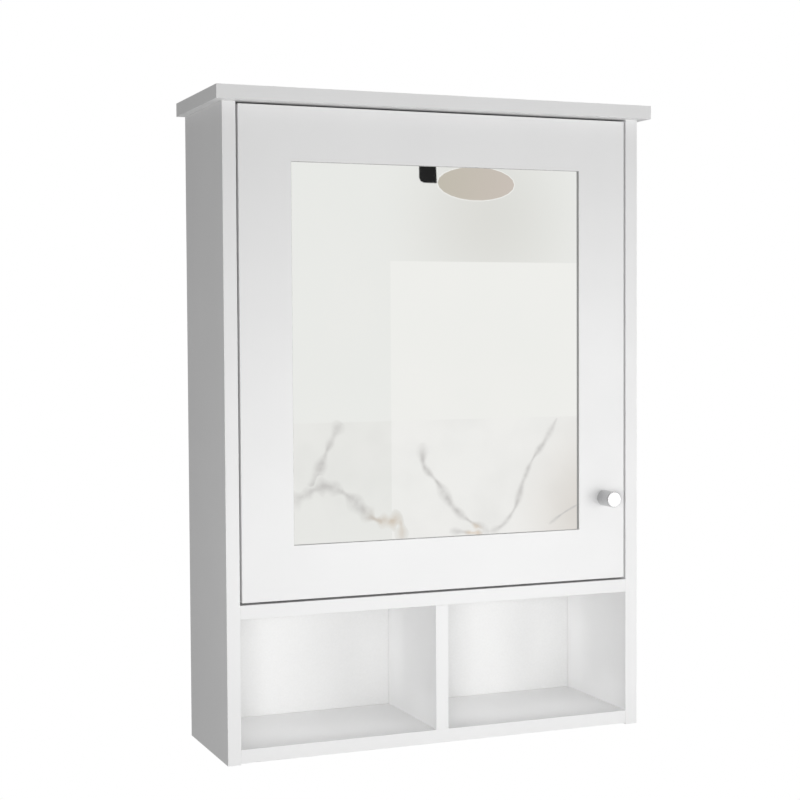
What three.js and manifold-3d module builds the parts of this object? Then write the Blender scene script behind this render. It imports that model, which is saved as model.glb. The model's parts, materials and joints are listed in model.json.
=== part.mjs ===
// Hanging wall cabinet: an inset mirror door on concealed hinges over two open cubbies.
// Millimetres, +Z up. The front faces -Y and the back edges lie on the wall plane Y = 0.
// Heights below are counted from the lower ends of the side panels. The exported group is
// shifted so that its origin is the middle of the top board's rear edge.

import * as THREE from 'three';
import { mergeVertices } from 'three/addons/utils/BufferGeometryUtils.js';
import Module from 'manifold-3d';

const wasm = await Module();
wasm.setup();

// ---------------------------------------------------------------- driving dimensions

const BOARD = 15;
const FIT = 0.3;
const END_ROOM = 0.5;
const OVERCUT = 1;

const CARCASS_WIDTH = 500;
const CARCASS_HEIGHT = 708;
const CARCASS_DEPTH = 150;
const TOP_SIDE_OVERHANG = 10;
const TOP_FRONT_OVERHANG = 15;
const BOTTOM_LIFT = 1.5;
const CUBBY_HEIGHT = 140.5;

const BACK_THICKNESS = 3;
const BACK_INSET = 2;
const GROOVE_DEPTH = 6;

const RAIL_HEIGHT = 60;
const RAIL_HOLE_X = 150;
const RAIL_HOLE_RADIUS = 2.75;
const BACK_HOLE_RADIUS = 3.5;

const TENON_WIDTH = 9;
const TENON_HEIGHT = 2.5;
const TENON_END = 12;

const DOOR_GAP = 2.4;
const DOOR_THICKNESS = 15;
const DOOR_BORDER = 59.1;
const MIRROR_RECESS = 2.8;
const MIRROR_THICKNESS = 3;
const BACKING_THICKNESS = 3;
const REBATE_WIDTH = 8;
const GLASS_ROOM = 0.6;

const KNOB_X = 206;
const KNOB_Z = 269;
const KNOB_RADIUS = 9;
const KNOB_LENGTH = 25;
const KNOB_EDGE = 0.8;
const KNOB_THREAD_DEPTH = 14;
const KNOB_SCREW = { radius: 2, length: 28, head: 4.2, headHeight: 2.2 };

const SHELF_Z = 440;
const SHELF_FRONT_SETBACK = 36;
const SHELF_ROOM = 1;
const PIN_RADIUS = 2.5;
const PIN_HOLE_RADIUS = 2.75;
const PIN_TO_SHELF = 0.1;
const PIN_PITCH = 32;
const PIN_HOLE_DEPTH = 9;
const PIN_REACH = 8;
const PIN_COLLAR_RADIUS = 4;
const PIN_COLLAR_THICKNESS = 0.8;
const PIN_DEPTHS = { front: -105, rear: -30 };

const CAM_Y = -110;
const DOWEL_Y = -40;

// ---------------------------------------------------------------- derived positions

const INNER_HALF = CARCASS_WIDTH / 2 - BOARD;
const OUTER_HALF = CARCASS_WIDTH / 2;
const FRONT = -CARCASS_DEPTH;
const TOP_UNDERSIDE = CARCASS_HEIGHT;
const FLOOR_Z = BOTTOM_LIFT + BOARD;
const SHELF_UNDERSIDE = FLOOR_Z + CUBBY_HEIGHT;
const SHELF_TOP = SHELF_UNDERSIDE + BOARD;
const BACK_REAR = -(BACK_INSET + FIT);
const BACK_FRONT = BACK_REAR - BACK_THICKNESS;
const GROOVE = [BACK_FRONT - FIT, -BACK_INSET];
const BACK_CLEAR = GROOVE[0];

const DOOR_HALF = INNER_HALF - DOOR_GAP;
const DOOR_Z = [SHELF_TOP + DOOR_GAP, TOP_UNDERSIDE - DOOR_GAP];
const DOOR_REAR = FRONT + DOOR_THICKNESS;
const OPENING_HALF = DOOR_HALF - DOOR_BORDER;
const OPENING_Z = [DOOR_Z[0] + DOOR_BORDER, DOOR_Z[1] - DOOR_BORDER];

const PIN_Z = SHELF_Z - PIN_RADIUS - PIN_TO_SHELF;
const ORIGIN_Z = TOP_UNDERSIDE + BOARD / 2;

// ---------------------------------------------------------------- materials

const finish = (color, roughness, metalness = 0) =>
  new THREE.MeshStandardMaterial({ color, roughness, metalness });

const WHITE_BOARD = finish(0xf4f4f3, 0.45);
const WHITE_HARDBOARD = finish(0xf0f0ef, 0.6);
const BROWN_HARDBOARD = finish(0x8a6a4a, 0.85);
const MIRROR_GLASS = finish(0xe8ecea, 0.03, 1);
const BRUSHED_METAL = finish(0xb9b9bb, 0.32, 1);
const NICKEL = finish(0xc4c5c7, 0.28, 1);
const ZINC = finish(0xa9abae, 0.42, 1);
const BEECH = finish(0xcfa877, 0.7);

// ---------------------------------------------------------------- shape helpers

function solidOf(geometry) {
  const bare = geometry.clone();
  bare.deleteAttribute('normal');
  bare.deleteAttribute('uv');
  const merged = mergeVertices(bare);
  return new wasm.Manifold(new wasm.Mesh({
    numProp: 3,
    vertProperties: new Float32Array(merged.attributes.position.array),
    triVerts: new Uint32Array(merged.index.array),
  }));
}

function geometryOf(solid) {
  const mesh = solid.getMesh();
  const geometry = new THREE.BufferGeometry();
  geometry.setAttribute('position', new THREE.BufferAttribute(mesh.vertProperties, 3));
  geometry.setIndex(new THREE.BufferAttribute(mesh.triVerts, 1));
  geometry.computeVertexNormals();
  return geometry;
}

const cut = (base, tools) =>
  geometryOf(tools.reduce((solid, tool) => solid.subtract(solidOf(tool)), solidOf(base)));

const join = (pieces) =>
  geometryOf(pieces.slice(1).reduce((solid, piece) => solid.add(solidOf(piece)), solidOf(pieces[0])));

const ALONG = [1, 0, 0];
const UP = [0, 0, 1];

// Facets round small fittings and their holes, hinge pins, cams, and the large round pieces.
const SMALL_SIDES = 10;
const PIN_SIDES = 14;
const CAM_SIDES = 16;
const CUP_SIDES = 32;
const KNOB_SIDES = 28;

// A box from three [low, high] pairs.
function box(x, y, z) {
  const geometry = new THREE.BoxGeometry(x[1] - x[0], y[1] - y[0], z[1] - z[0]);
  return geometry.translate((x[0] + x[1]) / 2, (y[0] + y[1]) / 2, (z[0] + z[1]) / 2);
}

// A turned piece: the profile lists [radius, distance] from the point `from` along `direction`.
function turned(profile, from, direction, sides = SMALL_SIDES) {
  const points = profile.map(([radius, distance]) => new THREE.Vector2(radius, distance));
  const geometry = new THREE.LatheGeometry(points, sides);
  const axis = new THREE.Vector3(...direction).normalize();
  geometry.applyQuaternion(new THREE.Quaternion().setFromUnitVectors(new THREE.Vector3(0, 1, 0), axis));
  return geometry.translate(...from);
}

// A plain round rod between two distances along `direction`.
const rod = (radius, span, from, direction, sides = SMALL_SIDES) =>
  turned([[0, span[0]], [radius, span[0]], [radius, span[1]], [0, span[1]]], from, direction, sides);

// A plan outline raised between two heights.
function slab(outline, z) {
  const geometry = new THREE.ExtrudeGeometry(outline, { depth: z[1] - z[0], bevelEnabled: false });
  return geometry.translate(0, 0, z[0]);
}

const polygon = (points) => new THREE.Shape(points.map(([x, y]) => new THREE.Vector2(x, y)));

const between = (a, b) => [Math.min(a, b), Math.max(a, b)];

const bothSides = [['left', -1], ['right', 1]];

const cabinet = new THREE.Group();
cabinet.position.z = -ORIGIN_Z;

function addPart(name, geometry, material) {
  const mesh = new THREE.Mesh(geometry, material);
  mesh.name = name;
  cabinet.add(mesh);
}

// ---------------------------------------------------------------- knock-down joints

// Each board end has one cam lock with its bolt, and one dowel. A joint's own axes: x runs from
// the joint plane into the board that holds the cam, z out of the face that shows the cam.
const CAM_OFFSET = 24;
const CAM_RADIUS = 7.3;
const CAM_SPAN = [-4.8, BOARD / 2 - FIT];
const CAM_DRIVE = { length: 7, width: 1.4, depth: 1.5 };
const BOLT_NECK_RADIUS = 2;
const BOLT_HEAD = { radius: 3.2, span: [21.9, 24.3] };
const BOLT_COLLAR = { radius: 3.6, span: [FIT, 15.5] };
const BOLT_THREAD = { radius: 2.4, start: -10.4 };
const DOWEL = { radius: 4, edge: 0.8, span: [-9.5, 19.5] };

const knockDownJoints = bothSides.flatMap(([side, sign]) => [
  {
    name: `top_${side}`,
    board: `${side}_side_panel`,
    mate: 'top_board',
    place: { x: sign * (OUTER_HALF - BOARD / 2), z: TOP_UNDERSIDE },
    inward: [0, 0, -1],
    camFace: [-sign, 0, 0],
  },
  {
    name: `shelf_${side}`,
    board: 'middle_shelf',
    mate: `${side}_side_panel`,
    place: { x: sign * INNER_HALF, z: SHELF_UNDERSIDE + BOARD / 2 },
    inward: [-sign, 0, 0],
    camFace: [0, 0, -1],
  },
  {
    name: `bottom_${side}`,
    board: 'bottom_board',
    mate: `${side}_side_panel`,
    place: { x: sign * INNER_HALF, z: BOTTOM_LIFT + BOARD / 2 },
    inward: [-sign, 0, 0],
    camFace: [0, 0, -1],
  },
]);

// Carries a shape drawn on the joint's own axes to its place, at depth y.
function atJoint(joint, y, geometry) {
  const inward = new THREE.Vector3(...joint.inward);
  const outOfCam = new THREE.Vector3(...joint.camFace);
  const across = outOfCam.clone().cross(inward);
  const frame = new THREE.Matrix4().makeBasis(inward, across, outOfCam);
  frame.setPosition(joint.place.x, y, joint.place.z);
  return geometry.applyMatrix4(frame);
}

function camLock() {
  const [low, high] = CAM_SPAN;
  const neck = BOLT_NECK_RADIUS + FIT;
  const head = BOLT_HEAD.radius + FIT;
  const pocket = [BOLT_HEAD.span[0] - FIT, BOLT_HEAD.span[1] + FIT];
  const half = CAM_DRIVE.length / 2;
  const arm = CAM_DRIVE.width / 2;
  const drive = [high - CAM_DRIVE.depth, high + OVERCUT];
  return cut(rod(CAM_RADIUS, [low, high], [CAM_OFFSET, 0, 0], UP, CAM_SIDES), [
    box([CAM_OFFSET - CAM_RADIUS - OVERCUT, pocket[1]], [-neck, neck], [-neck, neck]),
    box(pocket, [-head, head], [-head, head]),
    box([CAM_OFFSET - half, CAM_OFFSET + half], [-arm, arm], drive),
    box([CAM_OFFSET - arm, CAM_OFFSET + arm], [-half, half], drive),
  ]);
}

const camBolt = () => turned([
  [0, BOLT_THREAD.start],
  [BOLT_THREAD.radius, BOLT_THREAD.start],
  [BOLT_THREAD.radius, BOLT_COLLAR.span[0]],
  [BOLT_COLLAR.radius, BOLT_COLLAR.span[0]],
  [BOLT_COLLAR.radius, BOLT_COLLAR.span[1]],
  [BOLT_NECK_RADIUS, BOLT_COLLAR.span[1]],
  [BOLT_NECK_RADIUS, BOLT_HEAD.span[0]],
  [BOLT_HEAD.radius, BOLT_HEAD.span[0]],
  [BOLT_HEAD.radius, BOLT_HEAD.span[1]],
  [0, BOLT_HEAD.span[1]],
], [0, 0, 0], ALONG);

function dowel() {
  const { radius, edge, span } = DOWEL;
  return turned([
    [0, span[0]],
    [radius - edge, span[0]],
    [radius, span[0] + edge],
    [radius, span[1] - edge],
    [radius - edge, span[1]],
    [0, span[1]],
  ], [0, 0, 0], ALONG);
}

// Holes in a board for every knock-down joint that it takes part in.
function drillings(board) {
  const tools = [];
  const dowelHole = [DOWEL.span[0] - END_ROOM, DOWEL.span[1] + END_ROOM];
  for (const joint of knockDownJoints) {
    if (joint.board === board) {
      const camHole = [CAM_SPAN[0] - FIT, BOARD / 2 + OVERCUT];
      const bore = [-OVERCUT, CAM_OFFSET - CAM_RADIUS / 2];
      tools.push(atJoint(joint, CAM_Y, rod(CAM_RADIUS + FIT, camHole, [CAM_OFFSET, 0, 0], UP, CAM_SIDES)));
      tools.push(atJoint(joint, CAM_Y, rod(BOLT_COLLAR.radius + FIT, bore, [0, 0, 0], ALONG)));
    }
    if (joint.mate === board) {
      const threadHole = [BOLT_THREAD.start - END_ROOM, OVERCUT];
      tools.push(atJoint(joint, CAM_Y, rod(BOLT_THREAD.radius + FIT, threadHole, [0, 0, 0], ALONG)));
    }
    if (joint.board === board || joint.mate === board) {
      tools.push(atJoint(joint, DOWEL_Y, rod(DOWEL.radius + FIT, dowelHole, [0, 0, 0], ALONG)));
    }
  }
  return tools;
}

for (const joint of knockDownJoints) {
  addPart(`cam_lock_${joint.name}`, atJoint(joint, CAM_Y, camLock()), ZINC);
  addPart(`cam_bolt_${joint.name}`, atJoint(joint, CAM_Y, camBolt()), ZINC);
  addPart(`dowel_${joint.name}`, atJoint(joint, DOWEL_Y, dowel()), BEECH);
}

// ---------------------------------------------------------------- concealed hinge layout

// Plan coordinates [u, v]: u from the left panel's inner face into the cabinet, v back from the
// door's front face. The four pin places make the door swing out past the panel's edge without
// touching it, while both links turn in an almost constant proportion to the door.
const HINGE_END_DISTANCE = 90.4;
const hingeHeights = [
  ['upper', DOOR_Z[1] - HINGE_END_DISTANCE],
  ['lower', DOOR_Z[0] + HINGE_END_DISTANCE],
];
const OUTER_ARM_PIN = [24, 10];
const INNER_ARM_PIN = [31.5, 10];
const OUTER_CUP_PIN = [12.9, 6.4];
const INNER_CUP_PIN = [19.82, 9.28];

const HINGE_PIN_RADIUS = 1.25;
const HINGE_BORE_RADIUS = 1.5;
const OPEN_BORE_RADIUS = 1.62;
const BARREL_RADIUS = 2;
const STRAP_THICKNESS = 1.6;
const OUTER_LINK_BOW = 3.2;
const INNER_LINK_BOW = 4.5;
const OUTER_LINK_HALF = 5.2;
const INNER_LINK_HALF = 2.8;
const OUTER_STRAP_INNER = 3.2;

const CUP_U = 24.3;
const CUP_RADIUS = 17.4;
const CUP_WALL = 1;
const CUP_DEPTH = 11.8;
const CUP_FLOOR = 0.9;
const CUP_BORE = { radius: CUP_RADIUS + FIT, depth: CUP_DEPTH + FIT };
const FLANGE_THICKNESS = 1.2;
const FLANGE_RING_RADIUS = 19;
const FLANGE_WING = { u: [-2, 14], half: 31 };
const FLANGE_NOTCH_HALF = 7.6;
const CUP_SCREW = { u: CUP_U + 6, z: 24, radius: 1.6, length: 10, head: 3.4, headHeight: 1.8 };

const PLATE = { v: [44, 60], half: 24, thickness: 1.8 };
const SADDLE = { u: [0, 10.3], v: [43, 66], half: 5.2 };
const PLATE_SCREW = { v: 52, z: 16, radius: 1.6, length: 10.5, head: 3.4, headHeight: 1.8 };

const CHEEK = [5.6, 6.8];
const WEB_HALF = 6;

// Moves a shape drawn in plan coordinates, with its height counted from the hinge's middle.
const atHinge = (z, geometry) => geometry.translate(-INNER_HALF, FRONT, z);

const screwHoleRadius = (screw) => screw.radius + FIT;

// ---------------------------------------------------------------- carcass boards

function sidePanel(side, sign) {
  const inner = sign * INNER_HALF;
  const outward = [sign, 0, 0];
  const board = box(between(inner, sign * OUTER_HALF), [FRONT, 0], [0, CARCASS_HEIGHT]);
  const groove = box(
    between(inner - sign * OVERCUT, inner + sign * GROOVE_DEPTH), GROOVE,
    [FLOOR_Z - GROOVE_DEPTH, CARCASS_HEIGHT + OVERCUT],
  );
  const tools = [groove, ...drillings(`${side}_side_panel`)];
  for (const level of [-1, 0, 1]) {
    for (const y of Object.values(PIN_DEPTHS)) {
      const place = [inner, y, PIN_Z + level * PIN_PITCH];
      tools.push(rod(PIN_HOLE_RADIUS, [-OVERCUT, PIN_HOLE_DEPTH], place, outward));
    }
  }
  if (side === 'left') {
    tools.push(...plateScrewHoles());
  }
  return cut(board, tools);
}

function plateScrewHoles() {
  const span = [-OVERCUT, PLATE_SCREW.length + END_ROOM];
  return hingeHeights.flatMap(([, z]) => [-1, 1].map((end) => rod(
    screwHoleRadius(PLATE_SCREW), span,
    [-INNER_HALF, FRONT + PLATE_SCREW.v, z + end * PLATE_SCREW.z], [-1, 0, 0],
  )));
}

function topBoard() {
  const half = OUTER_HALF + TOP_SIDE_OVERHANG;
  const grooveHalf = INNER_HALF + GROOVE_DEPTH;
  return cut(
    box([-half, half], [FRONT - TOP_FRONT_OVERHANG, 0], [TOP_UNDERSIDE, TOP_UNDERSIDE + BOARD]),
    [
      box([-grooveHalf, grooveHalf], GROOVE, [TOP_UNDERSIDE - OVERCUT, TOP_UNDERSIDE + GROOVE_DEPTH]),
      ...drillings('top_board'),
    ],
  );
}

// The divider's stub tenon, or the slot for it when `room` is given.
function tenon(z, room = 0) {
  const half = TENON_WIDTH / 2 + room;
  return box([-half, half], [FRONT + TENON_END - room, BACK_CLEAR - TENON_END + room], z);
}

function middleShelf() {
  return cut(
    box([-INNER_HALF, INNER_HALF], [FRONT, BACK_CLEAR], [SHELF_UNDERSIDE, SHELF_TOP]),
    [
      tenon([SHELF_UNDERSIDE - OVERCUT, SHELF_UNDERSIDE + TENON_HEIGHT + FIT], FIT),
      ...drillings('middle_shelf'),
    ],
  );
}

function bottomBoard() {
  return cut(box([-INNER_HALF, INNER_HALF], [FRONT, 0], [BOTTOM_LIFT, FLOOR_Z]), [
    box(
      [-INNER_HALF - OVERCUT, INNER_HALF + OVERCUT], GROOVE,
      [FLOOR_Z - GROOVE_DEPTH, FLOOR_Z + OVERCUT],
    ),
    tenon([FLOOR_Z - TENON_HEIGHT - FIT, FLOOR_Z + OVERCUT], FIT),
    ...drillings('bottom_board'),
  ]);
}

const cubbyDivider = () => join([
  box([-BOARD / 2, BOARD / 2], [FRONT, BACK_CLEAR], [FLOOR_Z, SHELF_UNDERSIDE]),
  tenon([FLOOR_Z - TENON_HEIGHT, FLOOR_Z + OVERCUT]),
  tenon([SHELF_UNDERSIDE - OVERCUT, SHELF_UNDERSIDE + TENON_HEIGHT]),
]);

const railHoles = (radius) => bothSides.map(([, sign]) => rod(
  radius, [-BOARD * 2, OVERCUT], [sign * RAIL_HOLE_X, 0, TOP_UNDERSIDE - RAIL_HEIGHT / 2], [0, 1, 0],
));

function backPanel() {
  const reach = GROOVE_DEPTH - END_ROOM;
  const half = INNER_HALF + reach;
  return cut(
    box([-half, half], [BACK_FRONT, BACK_REAR], [FLOOR_Z - reach, TOP_UNDERSIDE + reach]),
    railHoles(BACK_HOLE_RADIUS),
  );
}

const hangingRail = () => cut(
  box([-INNER_HALF, INNER_HALF], [BACK_CLEAR - BOARD, BACK_CLEAR],
    [TOP_UNDERSIDE - RAIL_HEIGHT, TOP_UNDERSIDE]),
  railHoles(RAIL_HOLE_RADIUS),
);

function adjustableShelf() {
  const half = INNER_HALF - SHELF_ROOM;
  const depth = [FRONT + SHELF_FRONT_SETBACK, BACK_CLEAR - SHELF_ROOM];
  return box([-half, half], depth, [SHELF_Z, SHELF_Z + BOARD]);
}

const shelfPin = (sign, y) => turned([
  [0, -PIN_REACH],
  [PIN_RADIUS, -PIN_REACH],
  [PIN_RADIUS, 0],
  [PIN_COLLAR_RADIUS, 0],
  [PIN_COLLAR_RADIUS, PIN_COLLAR_THICKNESS],
  [PIN_RADIUS, PIN_COLLAR_THICKNESS],
  [PIN_RADIUS, PIN_REACH],
  [0, PIN_REACH],
], [sign * INNER_HALF, y, PIN_Z], [-sign, 0, 0]);

addPart('top_board', topBoard(), WHITE_BOARD);
for (const [side, sign] of bothSides) {
  addPart(`${side}_side_panel`, sidePanel(side, sign), WHITE_BOARD);
  for (const [end, y] of Object.entries(PIN_DEPTHS)) {
    addPart(`shelf_pin_${side}_${end}`, shelfPin(sign, y), NICKEL);
  }
}
addPart('middle_shelf', middleShelf(), WHITE_BOARD);
addPart('bottom_board', bottomBoard(), WHITE_BOARD);
addPart('cubby_divider', cubbyDivider(), WHITE_BOARD);
addPart('back_panel', backPanel(), WHITE_HARDBOARD);
addPart('hanging_rail', hangingRail(), WHITE_BOARD);
addPart('adjustable_shelf', adjustableShelf(), WHITE_BOARD);

// ---------------------------------------------------------------- door

const INTO_DOOR = [0, -1, 0];

function doorFrame() {
  const rebateHalf = OPENING_HALF + REBATE_WIDTH;
  const rebateZ = [OPENING_Z[0] - REBATE_WIDTH, OPENING_Z[1] + REBATE_WIDTH];
  const tools = [
    box([-OPENING_HALF, OPENING_HALF], [FRONT - OVERCUT, DOOR_REAR + OVERCUT], OPENING_Z),
    box([-rebateHalf, rebateHalf], [FRONT + MIRROR_RECESS, DOOR_REAR + OVERCUT], rebateZ),
    rod(screwHoleRadius(KNOB_SCREW), [-OVERCUT, DOOR_THICKNESS + OVERCUT],
      [KNOB_X, DOOR_REAR, KNOB_Z], INTO_DOOR),
  ];
  for (const [, z] of hingeHeights) {
    const cup = [CUP_U - INNER_HALF, DOOR_REAR, z];
    tools.push(rod(CUP_BORE.radius, [-OVERCUT, CUP_BORE.depth], cup, INTO_DOOR, CUP_SIDES));
    for (const end of [-1, 1]) {
      const place = [CUP_SCREW.u - INNER_HALF, DOOR_REAR, z + end * CUP_SCREW.z];
      const span = [-OVERCUT, CUP_SCREW.length + END_ROOM];
      tools.push(rod(screwHoleRadius(CUP_SCREW), span, place, INTO_DOOR));
    }
  }
  return cut(box([-DOOR_HALF, DOOR_HALF], [FRONT, DOOR_REAR], DOOR_Z), tools);
}

// A pane in the door's rebate, from a distance behind the door's front face.
function pane(depth, thickness) {
  const half = OPENING_HALF + REBATE_WIDTH - GLASS_ROOM;
  const grow = REBATE_WIDTH - GLASS_ROOM;
  const front = FRONT + depth;
  return box([-half, half], [front, front + thickness], [OPENING_Z[0] - grow, OPENING_Z[1] + grow]);
}

function knob() {
  const foot = [KNOB_X, FRONT, KNOB_Z];
  const body = turned([
    [0, 0],
    [KNOB_RADIUS, 0],
    [KNOB_RADIUS, KNOB_LENGTH - KNOB_EDGE],
    [KNOB_RADIUS - KNOB_EDGE, KNOB_LENGTH],
    [0, KNOB_LENGTH],
  ], foot, INTO_DOOR, KNOB_SIDES);
  const thread = rod(screwHoleRadius(KNOB_SCREW), [-OVERCUT, KNOB_THREAD_DEPTH], foot, INTO_DOOR);
  return cut(body, [thread]);
}

// A screw whose head sits `lift` above the surface at `from`, driven along `direction`.
const HEAD_CROWN = 0.8;
const HEAD_LIFT = 0.1;
const screw = ({ radius, length, head, headHeight }, lift, from, direction) => turned([
  [0, -lift - headHeight],
  [head * HEAD_CROWN, -lift - headHeight],
  [head, -lift - headHeight / 2],
  [head, -lift],
  [radius, -lift],
  [radius, length],
  [0, length],
], from, direction);

addPart('door_frame', doorFrame(), WHITE_BOARD);
addPart('mirror', pane(MIRROR_RECESS, MIRROR_THICKNESS), MIRROR_GLASS);
addPart('mirror_backing', pane(MIRROR_RECESS + MIRROR_THICKNESS, BACKING_THICKNESS), BROWN_HARDBOARD);
addPart('knob', knob(), BRUSHED_METAL);
addPart('knob_screw', screw(KNOB_SCREW, 0, [KNOB_X, DOOR_REAR, KNOB_Z], INTO_DOOR), NICKEL);

// ---------------------------------------------------------------- hinge pieces

// An upright rod on a pin's axis: its hole, or with another radius its barrel or the pin itself.
const pinRod = ([u, v], span, radius = HINGE_BORE_RADIUS) => rod(radius, span, [u, v, 0], UP, PIN_SIDES);

// A strap that bows from one pin to another, as a plan outline.
function strapOutline(start, end, bow) {
  const from = new THREE.Vector2(...start);
  const along = new THREE.Vector2(...end).sub(from);
  const side = new THREE.Vector2(along.y, -along.x).normalize();
  const steps = 8;
  const edge = (offset) => Array.from({ length: steps + 1 }, (_, i) => {
    const t = i / steps;
    const rise = 4 * bow * t * (1 - t);
    return from.clone().addScaledVector(along, t).addScaledVector(side, rise + offset);
  });
  return new THREE.Shape([
    ...edge(STRAP_THICKNESS / 2),
    ...edge(-STRAP_THICKNESS / 2).reverse(),
  ]);
}

function outerLink() {
  const full = [-OUTER_LINK_HALF, OUTER_LINK_HALF];
  const strap = strapOutline(OUTER_ARM_PIN, OUTER_CUP_PIN, OUTER_LINK_BOW);
  const body = join([
    pinRod(OUTER_ARM_PIN, full, BARREL_RADIUS),
    pinRod(OUTER_CUP_PIN, full, BARREL_RADIUS),
    slab(strap, [OUTER_STRAP_INNER, OUTER_LINK_HALF]),
    slab(strap, [-OUTER_LINK_HALF, -OUTER_STRAP_INNER]),
  ]);
  const through = [-OUTER_LINK_HALF - OVERCUT, OUTER_LINK_HALF + OVERCUT];
  return cut(body, [pinRod(OUTER_ARM_PIN, through), pinRod(OUTER_CUP_PIN, through)]);
}

function innerLink() {
  const full = [-INNER_LINK_HALF, INNER_LINK_HALF];
  const body = join([
    pinRod(INNER_ARM_PIN, full, BARREL_RADIUS),
    pinRod(INNER_CUP_PIN, full, BARREL_RADIUS),
    slab(strapOutline(INNER_ARM_PIN, INNER_CUP_PIN, INNER_LINK_BOW), full),
  ]);
  const through = [-INNER_LINK_HALF - OVERCUT, INNER_LINK_HALF + OVERCUT];
  return cut(body, [
    pinRod(INNER_ARM_PIN, through),
    pinRod(INNER_CUP_PIN, through, OPEN_BORE_RADIUS),
  ]);
}

// The cranked arm: two cheeks in plan, joined by a web along the edge that faces the cabinet.
const CHEEK_OUTLINE = [
  [22, 12.2], [30.3, 20.5], [30.3, 33.5], [9, 39], [3, 43], [3, 66], [12, 66],
  [12, 48.5], [36.6, 37], [36.6, 20], [34.4, 9.5], [31.5, 7.2], [24, 7.2], [21.2, 9],
];
const WEB_OUTLINE = [
  [36.6, 20], [36.6, 37], [12, 48.5], [12, 66], [10.7, 66], [10.7, 47.7], [35.3, 36.2], [35.3, 20],
];

function hingeArm() {
  const cheek = polygon(CHEEK_OUTLINE);
  const body = join([
    slab(polygon(WEB_OUTLINE), [-WEB_HALF, WEB_HALF]),
    slab(cheek, CHEEK),
    slab(cheek, [-CHEEK[1], -CHEEK[0]]),
  ]);
  const through = [-CHEEK[1] - OVERCUT, CHEEK[1] + OVERCUT];
  return cut(body, [pinRod(OUTER_ARM_PIN, through), pinRod(INNER_ARM_PIN, through)]);
}

function mountingPlate() {
  const body = join([
    box([0, PLATE.thickness], PLATE.v, [-PLATE.half, PLATE.half]),
    box(SADDLE.u, SADDLE.v, [-SADDLE.half, SADDLE.half]),
  ]);
  return cut(body, [-1, 1].map((end) => rod(
    screwHoleRadius(PLATE_SCREW), [-OVERCUT, PLATE.thickness + OVERCUT],
    [0, PLATE_SCREW.v, end * PLATE_SCREW.z], ALONG,
  )));
}

// A rivet with two heads, through both cheeks of the arm.
const RIVET_HEAD = { radius: 2.1, inner: CHEEK[1] + 0.2, outer: CHEEK[1] + 1 };

function armPin([u, v]) {
  const head = RIVET_HEAD;
  return turned([
    [0, -head.outer],
    [head.radius, -head.outer],
    [head.radius, -head.inner],
    [HINGE_PIN_RADIUS, -head.inner],
    [HINGE_PIN_RADIUS, head.inner],
    [head.radius, head.inner],
    [head.radius, head.outer],
    [0, head.outer],
  ], [u, v, 0], UP);
}

// One bent wire makes both cup pins: two legs and a bridge over the links.
const PIN_BRIDGE = [8.4, 10.2];
const PIN_BRIDGE_HALF = 1.1;
const OUTER_LEG_END = -12.2;
const INNER_LEG_END = -16.2;

function cupPin() {
  const from = new THREE.Vector2(...OUTER_CUP_PIN);
  const to = new THREE.Vector2(...INNER_CUP_PIN);
  const side = new THREE.Vector2(to.y - from.y, from.x - to.x).setLength(PIN_BRIDGE_HALF);
  const bridge = new THREE.Shape([
    from.clone().add(side), from.clone().sub(side), to.clone().sub(side), to.clone().add(side),
  ]);
  return join([
    pinRod(OUTER_CUP_PIN, [OUTER_LEG_END, PIN_BRIDGE[1]], HINGE_PIN_RADIUS),
    pinRod(INNER_CUP_PIN, [INNER_LEG_END, PIN_BRIDGE[1]], HINGE_PIN_RADIUS),
    slab(bridge, PIN_BRIDGE),
  ]);
}

// The pressed bowl with its flange on the door's rear face. Its left rim is cut low for the links.
function hingeCup() {
  const rear = [CUP_U, DOOR_THICKNESS, 0];
  const inner = CUP_RADIUS - CUP_WALL;
  const bowl = turned([
    [0, CUP_DEPTH - CUP_FLOOR],
    [inner, CUP_DEPTH - CUP_FLOOR],
    [inner, -FLANGE_THICKNESS / 2],
    [CUP_RADIUS, -FLANGE_THICKNESS / 2],
    [CUP_RADIUS, CUP_DEPTH],
    [0, CUP_DEPTH],
  ], rear, INTO_DOOR, CUP_SIDES);
  const flangeV = [DOOR_THICKNESS, DOOR_THICKNESS + FLANGE_THICKNESS];
  const throughFlange = [-FLANGE_THICKNESS - OVERCUT, OVERCUT];
  const ring = rod(FLANGE_RING_RADIUS, [-FLANGE_THICKNESS, 0], rear, INTO_DOOR, CUP_SIDES);
  const wings = box([CUP_U + FLANGE_WING.u[0], CUP_U + FLANGE_WING.u[1]], flangeV,
    [-FLANGE_WING.half, FLANGE_WING.half]);
  const flange = cut(join([ring, wings]), [
    rod(inner, throughFlange, rear, INTO_DOOR, CUP_SIDES),
    ...[-1, 1].map((end) => rod(screwHoleRadius(CUP_SCREW), throughFlange,
      [CUP_SCREW.u, DOOR_THICKNESS, end * CUP_SCREW.z], INTO_DOOR)),
  ]);
  return cut(join([bowl, flange]), [
    box([0, CUP_U - CUP_RADIUS / 2], [DOOR_THICKNESS, flangeV[1] + OVERCUT],
      [-FLANGE_NOTCH_HALF, FLANGE_NOTCH_HALF]),
    pinRod(OUTER_CUP_PIN, [OUTER_LEG_END - FIT, 0]),
    pinRod(INNER_CUP_PIN, [INNER_LEG_END - FIT, 0]),
  ]);
}

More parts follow.
